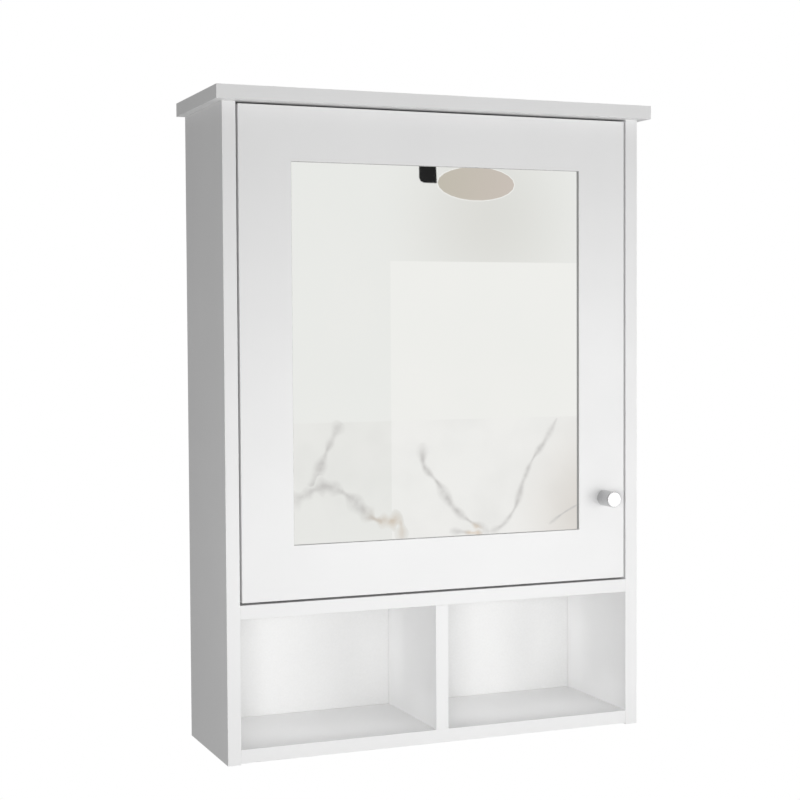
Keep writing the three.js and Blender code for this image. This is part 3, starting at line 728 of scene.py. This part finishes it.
DOOR_ROUND = 0.25 * MM
OPENING_ROUND = 0.5 * MM
GLASS_ROOM = 0.6 * MM
GLASS_ROUND = 0.4 * MM
REBATE_WIDTH = 8 * MM
CUP_RADIUS = 17.4 * MM
CUP_RING_RADIUS = 19 * MM
CUP_BORE_DEPTH = 12.1 * MM
KNOB_ROUND = 0.7 * MM
KNOB_FOOT = {"inset": 0.9 * MM, "height": 0.5 * MM, "edge": 0.2 * MM}
KNOB_BORE = {"radius": 2.3 * MM, "depth": 14 * MM}
SCREW = {"shank": 1.6 * MM, "head_height": 1.8 * MM}
KNOB_SCREW = {"shank": 2 * MM, "head_height": 2.2 * MM}
SCREW_TIP = 1.6 * MM
SCREW_EDGE = 0.1 * MM
SCREW_SLOT_HALF = 0.4 * MM


def cup_centre(level):
    """The middle of a hinge cup on the door's rear face."""
    low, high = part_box(f"{level}_hinge_cup")
    return Vector((low.x + CUP_RING_RADIUS, DOOR_REAR, (low.z + high.z) / 2))


def grown(box, across, along_y=(0.0, 0.0)):
    """A box widened in X and Z, and lengthened in Y at its low and high ends."""
    low, high = box
    return (low - Vector((across, along_y[0], across)), high + Vector((across, along_y[1], across)))


def show_door_frame():
    """The door's board with the mirror's opening and rebate. The opening's inner walls take a grey foil that
    paints their shade.
    """
    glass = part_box("mirror")
    behind = DOOR_REAR - glass[1].y + OVERCUT
    rebate = grown(glass, GLASS_ROOM, (0, behind))
    opening = grown(glass, GLASS_ROOM - REBATE_WIDTH, (glass[0].y - FRONT + OVERCUT, behind))
    cutters = [block(*rebate), rounded_front_opening(opening)]
    rear_face = Vector((0, DOOR_REAR, 0))
    cutters += screw_holes(["knob_screw"], -Y, rear_face, **KNOB_PILOT)
    cutters += screw_holes(CUP_SCREWS, -Y, rear_face, **PILOT)
    for level in ("upper", "lower"):
        cutters.append(rod(cup_centre(level), -Y, (-OVERCUT, CUP_BORE_DEPTH), CUP_RADIUS + ROOM, 64))
    mesh = combined(block(*DOOR, DOOR_ROUND), cutters)
    mark_edges(mesh, "door_frame")
    lined = grown(rebate, 0.1 * MM, (glass[0].y - FRONT, 0))
    finishes = [DOOR_FOIL, CORE, LIP_PAINTED_SHADE]

    def finish_of(face):
        in_opening = inside(face.center, *lined)
        # The opening's inner walls take the grey painted shade.
        if in_opening and face.center.y < glass[0].y and face.normal.y > -0.98:
            return finishes.index(LIP_PAINTED_SHADE)
        outer = in_opening or not inside(face.center, *DOOR, -1.2 * DOOR_ROUND)
        return finishes.index(DOOR_FOIL if outer else CORE)

    show("door_frame", mesh, finishes, finish_of)


def rounded_front_opening(opening):
    """The opening's cutter, flared at the door's front face so that the opening's edge is rounded."""
    low, high = opening
    edge = OPENING_ROUND
    steps = 4
    bm = bmesh.new()
    rings = []
    for i in range(steps + 2):
        turn = math.radians(90 * min(i, steps) / steps)
        flare = edge * (1 - math.sin(turn))
        y = FRONT + edge * (1 - math.cos(turn)) if i <= steps else high.y
        corners = [(low.x - flare, low.z - flare), (high.x + flare, low.z - flare),
                   (high.x + flare, high.z + flare), (low.x - flare, high.z + flare)]
        rings.append([bm.verts.new((x, y, z)) for x, z in corners])
    rings.insert(0, [bm.verts.new((vert.co.x, FRONT - OVERCUT, vert.co.z)) for vert in rings[0]])
    bridge(bm, rings)
    bm.faces.new(rings[0])
    bm.faces.new(rings[-1])
    return mesh_from(bm)


def show_mirror():
    """The glass, with a silvered face, ground edges and a painted back."""
    show("mirror", block(*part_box("mirror"), GLASS_ROUND), [SILVER, GROUND_EDGE, MIRROR_PAINT],
         lambda face: 1 + (round(face.normal.y) if abs(face.normal.y) > 0.99 else 0))


def show_knob():
    """A turned cylinder on a narrower foot, with a rounded end and a bore for its screw."""
    low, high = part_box("knob")
    radius = (high.x - low.x) / 2
    length = high.y - low.y
    foot = on_face("knob", high.y)
    base, step = radius - KNOB_FOOT["inset"], KNOB_FOOT["height"]
    edge = KNOB_FOOT["edge"]
    bore, depth = KNOB_BORE["radius"], KNOB_BORE["depth"]
    end_round = quarter((radius - KNOB_ROUND, length - KNOB_ROUND), KNOB_ROUND, 0, 6)
    profile = [(0, depth), (bore, depth), (bore, 0), (base, 0), (base, step), (radius - edge, step),
               (radius, step + edge), *end_round, (0, length)]
    show("knob", lathe(profile, foot, -Y, 96), [satin_metal("brushed_metal", foot)])


def screw(node, into):
    """A pan-head screw in a node's box, driven along into, with a cross recess and a thread."""
    low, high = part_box(node)
    spec = KNOB_SCREW if node == "knob_screw" else SCREW
    shank, head_height = spec["shank"], spec["head_height"]
    length = length_of(node, into)
    head = (high.z - low.z) / 2
    start = centre_of(node) - into * (length / 2)
    dome = 0.6 * head_height
    profile = [(0, 0), *quarter((head - dome, dome), dome, -90, 5), (head, head_height - SCREW_EDGE),
               (head - SCREW_EDGE, head_height), (shank, head_height)]
    profile += thread(shank, head_height, length - SCREW_TIP)
    profile += [(shank * 0.55, length - SCREW_TIP), (0, length)]
    recess = cross_cutter(start, Z, -into, head * 0.55, SCREW_SLOT_HALF, head_height * 0.65)
    return combined(lathe(profile, start, into, 32), recess)


show_door_frame()
show_mirror()
show_knob()
show("mirror_backing", block(*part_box("mirror_backing"), SHEET_ROUND), [SCREEN])
for screw_node in ["knob_screw", *CUP_SCREWS]:
    show(screw_node, screw(screw_node, -Y), [NICKEL])
for screw_node in PLATE_SCREWS:
    show(screw_node, screw(screw_node, -X), [NICKEL])


# ---------------------------------------------------------------- hinges

PIN_RADIUS = 1.25 * MM
PIN_BORE = 1.5 * MM
OPEN_BORE = 1.62 * MM
BARREL_RADIUS = 2 * MM
STRAP_HALF = 0.8 * MM
RIVET_HEAD = 0.8 * MM
OUTER_LINK = {"bow": 3.2 * MM, "half": 5.2 * MM, "straps": [(3.2 * MM, 5.2 * MM), (-5.2 * MM, -3.2 * MM)]}
INNER_LINK = {"bow": 4.5 * MM, "half": 2.8 * MM, "straps": [(-2.8 * MM, 2.8 * MM)]}
WIRE_TOP = 9.1 * MM
WIRE_BEND = 1.4 * MM
OUTER_LEG = 12.2 * MM
OUTER_LEG_BORE = 12.5 * MM
INNER_LEG_BORE = 16.5 * MM
CUP_DEPTH = 11.8 * MM
CUP_WALL = 1 * MM
CUP_FLOOR = 0.9 * MM
CUP_BEND = 2.2 * MM
FLANGE = 1.2 * MM
FLANGE_BORE_RADIUS = 1.9 * MM
WING = {"u": (-2 * MM, 14 * MM), "half": 31 * MM, "corner": 4 * MM}
NOTCH_HALF = 7.6 * MM
ARM_ROUND = 0.3 * MM
PLATE_ROUND = 0.4 * MM


def on_axis(point, z):
    return Vector((point.x, point.y, z))


def inner_cup_pin(level):
    """The plan place of the cup wire's inner leg, from its box."""
    low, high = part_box(f"{level}_cup_pin")
    return Vector((high.x - PIN_RADIUS, high.y - PIN_RADIUS, 0))


def strap(start, end, bow, span, middle_z):
    """A bowed strap between two pins, between two heights about the hinge's middle."""
    along = on_axis(end, 0) - on_axis(start, 0)
    side = Vector((along.y, -along.x, 0)).normalized()
    ways = [i / 24 for i in range(25)]
    near_edge, far_edge = [
        [on_axis(start, middle_z) + along * way + side * (4 * bow * way * (1 - way) + offset) for way in ways]
        for offset in (STRAP_HALF, -STRAP_HALF)
    ]
    return prism([*near_edge, *reversed(far_edge)], Z, span)


def link(start, end, spec, middle_z, bores):
    """A hinge link: two barrels joined by its straps, bored for the pins."""
    half = spec["half"]
    barrels = [rod(on_axis(pin, middle_z), Z, (-half, half), BARREL_RADIUS, 36) for pin in (start, end)]
    straps = [strap(start, end, spec["bow"], span, middle_z) for span in spec["straps"]]
    body = combined(barrels[0], [barrels[1], *straps], "UNION")
    through = (-half - OVERCUT, half + OVERCUT)
    return combined(body, [
        rod(on_axis(pin, middle_z), Z, through, radius, 36) for pin, radius in zip((start, end), bores)
    ])


def rivet(level, pin, point, middle_z):
    """An arm pin with a domed head at each end."""
    low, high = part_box(f"{level}_{pin}")
    half = (high.z - low.z) / 2
    head = (high.x - low.x) / 2
    neck = half - RIVET_HEAD
    upper = [(PIN_RADIUS, neck), (head, neck), (head, half - RIVET_HEAD / 2), (head * 0.6, half), (0, half)]
    lower = [(radius, -height) for radius, height in reversed(upper)]
    return lathe([*lower, *upper], on_axis(point, middle_z), Z, 32)


def cup_wire(level, middle_z):
    """The bent wire whose two legs are the cup's pins."""
    outer, inner = PIVOT["door_swing"], inner_cup_pin(level)
    along = (on_axis(inner, 0) - on_axis(outer, 0)).normalized()
    shoulder = middle_z + WIRE_TOP - WIRE_BEND
    bend = quarter((0, 0), WIRE_BEND, 0, 5)
    rise = [on_axis(outer, shoulder) + along * (WIRE_BEND - x) + Z * z for x, z in bend]
    fall = [on_axis(inner, shoulder) - along * (WIRE_BEND - x) + Z * z for x, z in reversed(bend)]
    foot = on_axis(inner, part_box(f"{level}_cup_pin")[0].z)
    return wire([on_axis(outer, middle_z - OUTER_LEG), *rise, *fall, foot], PIN_RADIUS)


def rounded_outline(half_x, half_z, corner):
    """Corners of a rounded rectangle in X and Z about the origin."""
    points = []
    for quadrant, (sx, sz) in enumerate(((1, 1), (-1, 1), (-1, -1), (1, -1))):
        centre = (sx * (half_x - corner), sz * (half_z - corner))
        points += [Vector((x, 0, z)) for x, z in quarter(centre, corner, 90 * quadrant, 6)]
    return points


def hinge_cup(level):
    """The pressed bowl with its screwed flange."""
    rear = cup_centre(level)
    inner = CUP_RADIUS - CUP_WALL
    floor_depth = CUP_DEPTH - CUP_FLOOR
    bowl = lathe([
        (0, floor_depth), *reversed(quarter((inner - CUP_BEND, floor_depth - CUP_BEND), CUP_BEND, 0)),
        (inner, -FLANGE / 2), (CUP_RADIUS, -FLANGE / 2),
        *quarter((CUP_RADIUS - CUP_BEND, CUP_DEPTH - CUP_BEND), CUP_BEND, 0), (0, CUP_DEPTH),
    ], rear, -Y, 72)
    ring = lathe([(0, 0), (CUP_RING_RADIUS, 0), (CUP_RING_RADIUS, FLANGE - ROOM),
                  (CUP_RING_RADIUS - ROOM, FLANGE), (0, FLANGE)], rear, Y, 72)
    wing_middle = rear + X * sum(WING["u"]) / 2
    half_width = (WING["u"][1] - WING["u"][0]) / 2
    outline = [wing_middle + point for point in rounded_outline(half_width, WING["half"], WING["corner"])]
    flange = combined(ring, [prism(outline, Y, (0, FLANGE))], "UNION")
    through = (-OVERCUT, FLANGE + OVERCUT)
    screw_bores = [rod(on_face(node, DOOR_REAR + FLANGE), -Y, through, FLANGE_BORE_RADIUS)
                   for node in CUP_SCREWS if node.startswith(level)]
    flange = combined(flange, [rod(rear, Y, through, inner, 72), *screw_bores])
    notch = block((LEFT_INNER, DOOR_REAR, rear.z - NOTCH_HALF),
                  (rear.x - CUP_RADIUS / 2, DOOR_REAR + FLANGE + OVERCUT, rear.z + NOTCH_HALF))
    legs = [
        rod(on_axis(PIVOT["door_swing"], rear.z), Z, (-OUTER_LEG_BORE, 0), PIN_BORE),
        rod(on_axis(inner_cup_pin(level), rear.z), Z, (-INNER_LEG_BORE, 0), PIN_BORE),
    ]
    return combined(combined(bowl, [flange], "UNION"), [notch, *legs])


def show_hinge(level):
    middle_z = cup_centre(level).z
    outer_arm, inner_arm = PIVOT["outer_link_swing"], PIVOT["inner_link_swing"]
    outer_cup, inner_cup = PIVOT["door_swing"], inner_cup_pin(level)
    parts = {
        "outer_link": link(outer_arm, outer_cup, OUTER_LINK, middle_z, (PIN_BORE, PIN_BORE)),
        "inner_link": link(inner_arm, inner_cup, INNER_LINK, middle_z, (PIN_BORE, OPEN_BORE)),
        "outer_arm_pin": rivet(level, "outer_arm_pin", outer_arm, middle_z),
        "inner_arm_pin": rivet(level, "inner_arm_pin", inner_arm, middle_z),
        "cup_pin": cup_wire(level, middle_z),
        "hinge_cup": hinge_cup(level),
        "hinge_arm": refined(f"{level}_hinge_arm", ARM_ROUND),
        "mounting_plate": refined(f"{level}_mounting_plate", PLATE_ROUND),
    }
    for name, mesh in parts.items():
        show(f"{level}_{name}", mesh, [NICKEL])


for hinge_level in ("upper", "lower"):
    show_hinge(hinge_level)


# ---------------------------------------------------------------- studio

FLOOR_Z = -1.8
FLOOR_RADIUS = 3.2
FLOOR_THICKNESS = 0.02
WORLD_LIGHT = 0.283


def stage_object(name, mesh, finish):
    mesh.materials.append(finish)
    thing = placed(name, mesh)
    return thing


def floor():
    finish = Finish("pale_floor")
    grain = finish.noise(4, 3)
    paint = finish.surface({
        "Base Color": finish.blend(grain, (0.90, 0.90, 0.90), (0.93, 0.93, 0.93)),
        "Roughness": finish.spread(grain, 0.55, 0.65),
    })
    disc = rod(Vector((0, 0, FLOOR_Z)), Z, (-FLOOR_THICKNESS, 0), FLOOR_RADIUS, 96)
    stage_object("floor", disc, paint)


def world():
    """White behind the object, and a dim even light from everywhere."""
    made = bpy.data.worlds.new("studio")
    bpy.context.scene.world = made
    made.use_nodes = True
    tree = made.node_tree
    background = tree.nodes["Background"]
    background.inputs["Color"].default_value = (1, 1, 1, 1)
    path = tree.nodes.new("ShaderNodeLightPath")
    strength = tree.nodes.new("ShaderNodeMapRange")
    strength.inputs["To Min"].default_value = WORLD_LIGHT
    strength.inputs["To Max"].default_value = 1.0
    tree.links.new(path.outputs["Is Camera Ray"], strength.inputs["Value"])
    tree.links.new(strength.outputs["Result"], background.inputs["Strength"])


def area_light(name, place, target, size, power, spread=180, shine=False):
    """A rectangular lamp at a place, facing a target. Only a shining one shows in glossy surfaces."""
    data = bpy.data.lights.new(name, "AREA")
    data.shape = "RECTANGLE"
    data.size, data.size_y = size
    data.energy = power
    data.spread = math.radians(spread)
    light = placed(name, data)
    light.location = place
    light.rotation_mode = "QUATERNION"
    light.rotation_quaternion = (Vector(target) - Vector(place)).to_track_quat("-Z", "Y")
    light.visible_camera = False
    light.visible_glossy = shine


def lights():
    """Soft lamps, dim on the left so that the side is in shade."""
    area_light("front", (0.25, -1.3, -0.6), (0.2, -0.15, -0.6), size=(0.6, 0.5), power=1.3)
    area_light("front_right", (0.65, -1.3, -0.5), (0.1, -0.15, -0.5), size=(0.6, 0.5), power=3.05)
    area_light("left", (-0.7, -1.5, -0.42), (0.05, -0.1, -0.45), size=(0.4, 0.3), power=1.9, spread=90)
    area_light("low_left", (-0.5, -1.0, -0.6), (0.1, -0.1, -0.62), size=(0.3, 0.2), power=0.08, spread=60)
    area_light("overhead", (1.4, 1.2, 5.0), (1.4, 1.2, 0), size=(2.4, 2.4), power=173, shine=True)


def cubby_fills(side):
    """Small lamps inside a cubby, for its floor, its right wall and its far right corner."""
    divider_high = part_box("cubby_divider")[1]
    middle_z = (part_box("middle_shelf")[0].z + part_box("bottom_board")[1].z) / 2
    mouth = Vector((side * (divider_high.x - LEFT_INNER) / 2, FRONT, middle_z))

    def fill(name, place, aim, size, power, spread=180):
        area_light(f"{name}_{side}", mouth + Vector(place), mouth + Vector(aim), size, power, spread)

    corner = (0.1135, 0.147, 0)
    fill("floor_fill", (0, 0.035, -0.03), (0, 0.035, -1), size=(0.2, 0.05), power=0.0098)
    fill("wall_fill", (-0.108, 0.1, 0), (1, 0.1, 0), size=(0.08, 0.1), power=0.0138)
    fill("corner_fill", (0.06, 0.09, 0), corner, size=(0.02, 0.09), power=0.0022, spread=100)
    fill("cross_fill", (-0.08, 0.03, 0), corner, size=(0.03, 0.09), power=0.0062, spread=120)


# What the mirror shows: a pale room in front of the cabinet, on its right. Places are (x, z) on its wall.
ROOM_Y = -3.2
CARD_GAP = 1 * MM
TILE_CORNER = (1.16, -0.037)
TILE_RIGHT = 2.6
MARBLE_TOP = -0.53
MARBLE_LEFT = 0.2
MARBLE_FOOT = -1.4
LEFT_MARBLE = (0.86, 0.855, 0.835)
RIGHT_MARBLE = (0.915, 0.905, 0.89)
LAMP = (1.45, 0.207)
LAMP_HALF = (0.132, 0.052)
LAMP_RIM_HALF = (0.136, 0.055)
DARK_BLOCK = [(1.315, 0.205), (1.31, 0.3), (1.255, 0.3), (1.255, 0.22), (1.26, 0.21), (1.27, 0.205)]
# Each vein's half width and path.
VEINS = {
    "left": (0.024, [(0.995, -0.53), (0.965, -0.575), (0.94, -0.63), (0.905, -0.705), (0.89, -0.74)]),
    "arch": (0.034, [(0.825, -0.77), (0.87, -0.75), (0.91, -0.73), (0.95, -0.725), (1.005, -0.75),
                     (1.06, -0.8), (1.1, -0.83), (1.145, -0.84), (1.185, -0.845), (1.19, -0.9)]),
    "falling": (0.022, [(1.26, -0.6), (1.265, -0.67), (1.31, -0.725), (1.365, -0.805), (1.425, -0.855),
                        (1.49, -0.89)]),
    "rising": (0.016, [(1.49, -0.89), (1.535, -0.87), (1.58, -0.815), (1.61, -0.73), (1.645, -0.66),
                       (1.685, -0.61), (1.73, -0.535)]),
    "corner": (0.008, [(1.7, -0.875), (1.755, -0.84), (1.83, -0.805)]),
    "speck": (0.015, [(1.35, -0.88), (1.4, -0.885), (1.435, -0.89), (1.465, -0.89)]),
}
# Each golden patch's place, reach and strength.
GOLD = [((1.165, -0.86), 0.14, 0.45), ((1.435, -0.89), 0.045, 1.0)]


def glowing(finish, base):
    """Turns a finish into an even glow of a colour, for the room's surfaces."""
    glow = finish.add("Emission", {}, {"Color": base})
    output = finish.tree.nodes["Material Output"]
    finish.feed(output.inputs["Surface"], glow.outputs["Emission"])
    return finish.material


def mottled_glow(name, shades, scale, detail=3.0):
    finish = Finish(name)
    return glowing(finish, finish.blend(finish.noise(scale, detail), *shades))


def nearness(finish, point, reach):
    """1 at a point of the room's wall, falling to 0 at reach."""
    gap = finish.add("VectorMath", {"operation": "DISTANCE"})
    finish.feed(gap.inputs[0], finish.place)
    finish.feed(gap.inputs[1], (point[0], ROOM_Y, point[1]))
    inputs = {"Value": gap.outputs["Value"], "From Min": 0.0, "From Max": reach, "To Min": 1.0, "To Max": 0.0}
    return finish.add("MapRange", {"interpolation_type": "SMOOTHSTEP"}, inputs).outputs["Result"]


def room_wall():
    finish = Finish("room_wall")
    plain = finish.blend(finish.noise(1.3, 2), (0.86, 0.86, 0.838), (0.89, 0.89, 0.872))
    shade = finish.math("MULTIPLY", nearness(finish, (1.5, 0.1), 0.42), 0.75)
    return glowing(finish, finish.blend(shade, plain, (0.74, 0.73, 0.70)))


def room_marble(tone):
    """Marble whose veins follow the ink attribute, with clouds, a darker brownish patch of painted shade and
    gold in the veins.
    """
    finish = Finish("room_marble")
    ink = finish.add("Attribute", {"attribute_name": "ink"}).outputs["Fac"]
    cloud = finish.noise(5, 3)
    base = finish.blend(finish.spread(cloud, 0, 1, (0.45, 0.8)), tone, [c * 0.93 for c in tone])
    # A darker brownish patch low on the right: painted shade.
    warm_shade = finish.math("MULTIPLY", nearness(finish, (1.95, -0.85), 0.42), 0.9)
    base = finish.blend(warm_shade, base, (0.70, 0.645, 0.60))
    ragged = finish.spread(finish.noise(38, 6), 0.45, 1.1, (0.3, 0.65))
    gold = finish.math("MAXIMUM", *[
        finish.math("MULTIPLY", nearness(finish, point, reach), strength) for point, reach, strength in GOLD
    ])
    vein = finish.blend(gold, (0.60, 0.585, 0.575), (0.74, 0.54, 0.34))
    return glowing(finish, finish.blend(finish.math("MULTIPLY", ink, ragged), base, vein))


def room_lamp():
    finish = Finish("room_lamp")
    slope = finish.add("SeparateXYZ", {}, {"Vector": finish.place}).outputs["X"]
    # The lamp runs from darker on its left to lighter on its right: painted shading.
    across = finish.spread(slope, 0, 1, (LAMP[0] - LAMP_HALF[0], LAMP[0] + LAMP_HALF[0]))
    return glowing(finish, finish.blend(across, (0.57, 0.53, 0.455), (0.63, 0.56, 0.51)))


def flat_card(points, y):
    """A flat polygon in the room, from (x, z) points."""
    bm = bmesh.new()
    bm.faces.new([bm.verts.new((x, y, z)) for x, z in points])
    return open_mesh(bm)


def rectangle(low, high):
    return [low, (high[0], low[1]), high, (low[0], high[1])]


def ellipse(centre, half, sides=22):
    angles = [2 * math.pi * i / sides for i in range(sides)]
    return [(centre[0] + half[0] * math.cos(a), centre[1] + half[1] * math.sin(a)) for a in angles]


def rounded(path, steps=8):
    """A smooth curve of points through a path."""
    points = [Vector(point) for point in path]
    points = [2 * points[0] - points[1], *points, 2 * points[-1] - points[-2]]
    curve = []
    for a, b, c, d in zip(points, points[1:], points[2:], points[3:]):
        for i in range(steps):
            t = i / steps
            curve.append(0.5 * (2 * b + (c - a) * t + (2 * a - 5 * b + 4 * c - d) * t ** 2
                                + (3 * b - a - 3 * c + d) * t ** 3))
    return [*curve, points[-2]]


def vein(path, width, y):
    """A ribbon along a path, inked in its middle and clear at its edges and ends."""
    curve = rounded(path)
    bm = bmesh.new()
    ink = bm.verts.layers.float.new("ink")
    rows = []
    for i, point in enumerate(curve):
        ahead = heading(curve, i)
        side = Vector((ahead.y, -ahead.x))
        swell = 0.7 + 0.45 * math.sin(i * 0.55) * math.sin(i * 0.21 + 1)
        fade = min(1, 5 * i / len(curve) + 0.3, 5 * (1 - i / len(curve)) + 0.3)
        row = []
        for step, strength in ((-1, 0), (-0.55, 0.4), (-0.1, 0.9), (0.2, 0.8), (0.55, 0.35), (1, 0)):
            place = point + side * width * swell * step
            vert = bm.verts.new((place.x, y, place.y))
            vert[ink] = strength * fade
            row.append(vert)
        rows.append(row)
    for a, b in zip(rows, rows[1:]):
        for k in range(len(a) - 1):
            bm.faces.new([a[k], a[k + 1], b[k + 1], b[k]])
    return open_mesh(bm)


def room():
    """Cards that only mirrors and glossy surfaces see, each in front of the one before."""
    tile_x, tile_z = TILE_CORNER
    left_marble = room_marble(LEFT_MARBLE)
    right_marble = room_marble(RIGHT_MARBLE)
    tile = mottled_glow("room_tile", [(0.905, 0.90, 0.88), (0.93, 0.922, 0.90)], 2, 2)
    highlight_window = mottled_glow("room_highlight_window", [(3.0, 3.0, 3.0), (3.2, 3.2, 3.2)], 2)
    dark = mottled_glow("room_dark", [(0.017, 0.017, 0.017), (0.02, 0.02, 0.02)], 9)
    shapes = {
        "wall": (rectangle((-0.4, -1.7), (3.4, 1.4)), room_wall()),
        "tile": (rectangle((tile_x, MARBLE_TOP), (TILE_RIGHT, tile_z)), tile),
        "marble_left": (rectangle((MARBLE_LEFT, MARBLE_FOOT), (tile_x, MARBLE_TOP)), left_marble),
        "marble_right": (rectangle((tile_x, MARBLE_FOOT), (TILE_RIGHT, MARBLE_TOP)), right_marble),
        "lamp_rim": (ellipse(LAMP, LAMP_RIM_HALF), tile),
        # A glowing patch beyond the mirror's view: a painted highlight for the knob's face.
        "highlight_window": (rectangle((1.84, -1.7), (3.4, 0.2)), highlight_window),
        "lamp": (ellipse(LAMP, LAMP_HALF), room_lamp()),
        "block": (DARK_BLOCK, dark),
    }
    for layer, (name, (points, finish)) in enumerate(shapes.items()):
        hang_card(name, flat_card(points, ROOM_Y + layer * CARD_GAP), finish)
    for layer, (name, (width, path)) in enumerate(VEINS.items(), len(shapes)):
        marble = left_marble if name in ("left", "arch") else right_marble
        hang_card(f"vein_{name}", vein(path, width, ROOM_Y + layer * CARD_GAP), marble)


def hang_card(name, mesh, finish):
    card = stage_object(f"room_{name}", mesh, finish)
    card.visible_camera = False
    card.visible_diffuse = False
    card.visible_shadow = False
    card.visible_transmission = False


CAMERA_PLACE = (-0.7396, -1.8507, -0.2503)
CAMERA_YAW = -0.3855
CAMERA_PITCH = 0.0419
CAMERA_ROLL = -0.0054
CAMERA_LENS = 74.84


def camera():
    """The camera at the photograph's viewing angle: in front, on the left, almost level."""
    data = bpy.data.cameras.new("camera")
    data.sensor_width = 36
    data.lens = CAMERA_LENS
    data.clip_start = 0.05
    data.clip_end = 60
    eye = placed("camera", data)
    level = Matrix.Rotation(CAMERA_YAW, 4, "Z") @ Matrix.Rotation(math.pi / 2 - CAMERA_PITCH, 4, "X")
    turn = level @ Matrix.Rotation(CAMERA_ROLL, 4, "Z")
    eye.matrix_world = Matrix.Translation(CAMERA_PLACE) @ turn
    bpy.context.scene.camera = eye


bpy.context.scene.view_settings.view_transform = "Standard"
floor()
world()
lights()
cubby_fills(-1)
cubby_fills(1)
room()
camera()
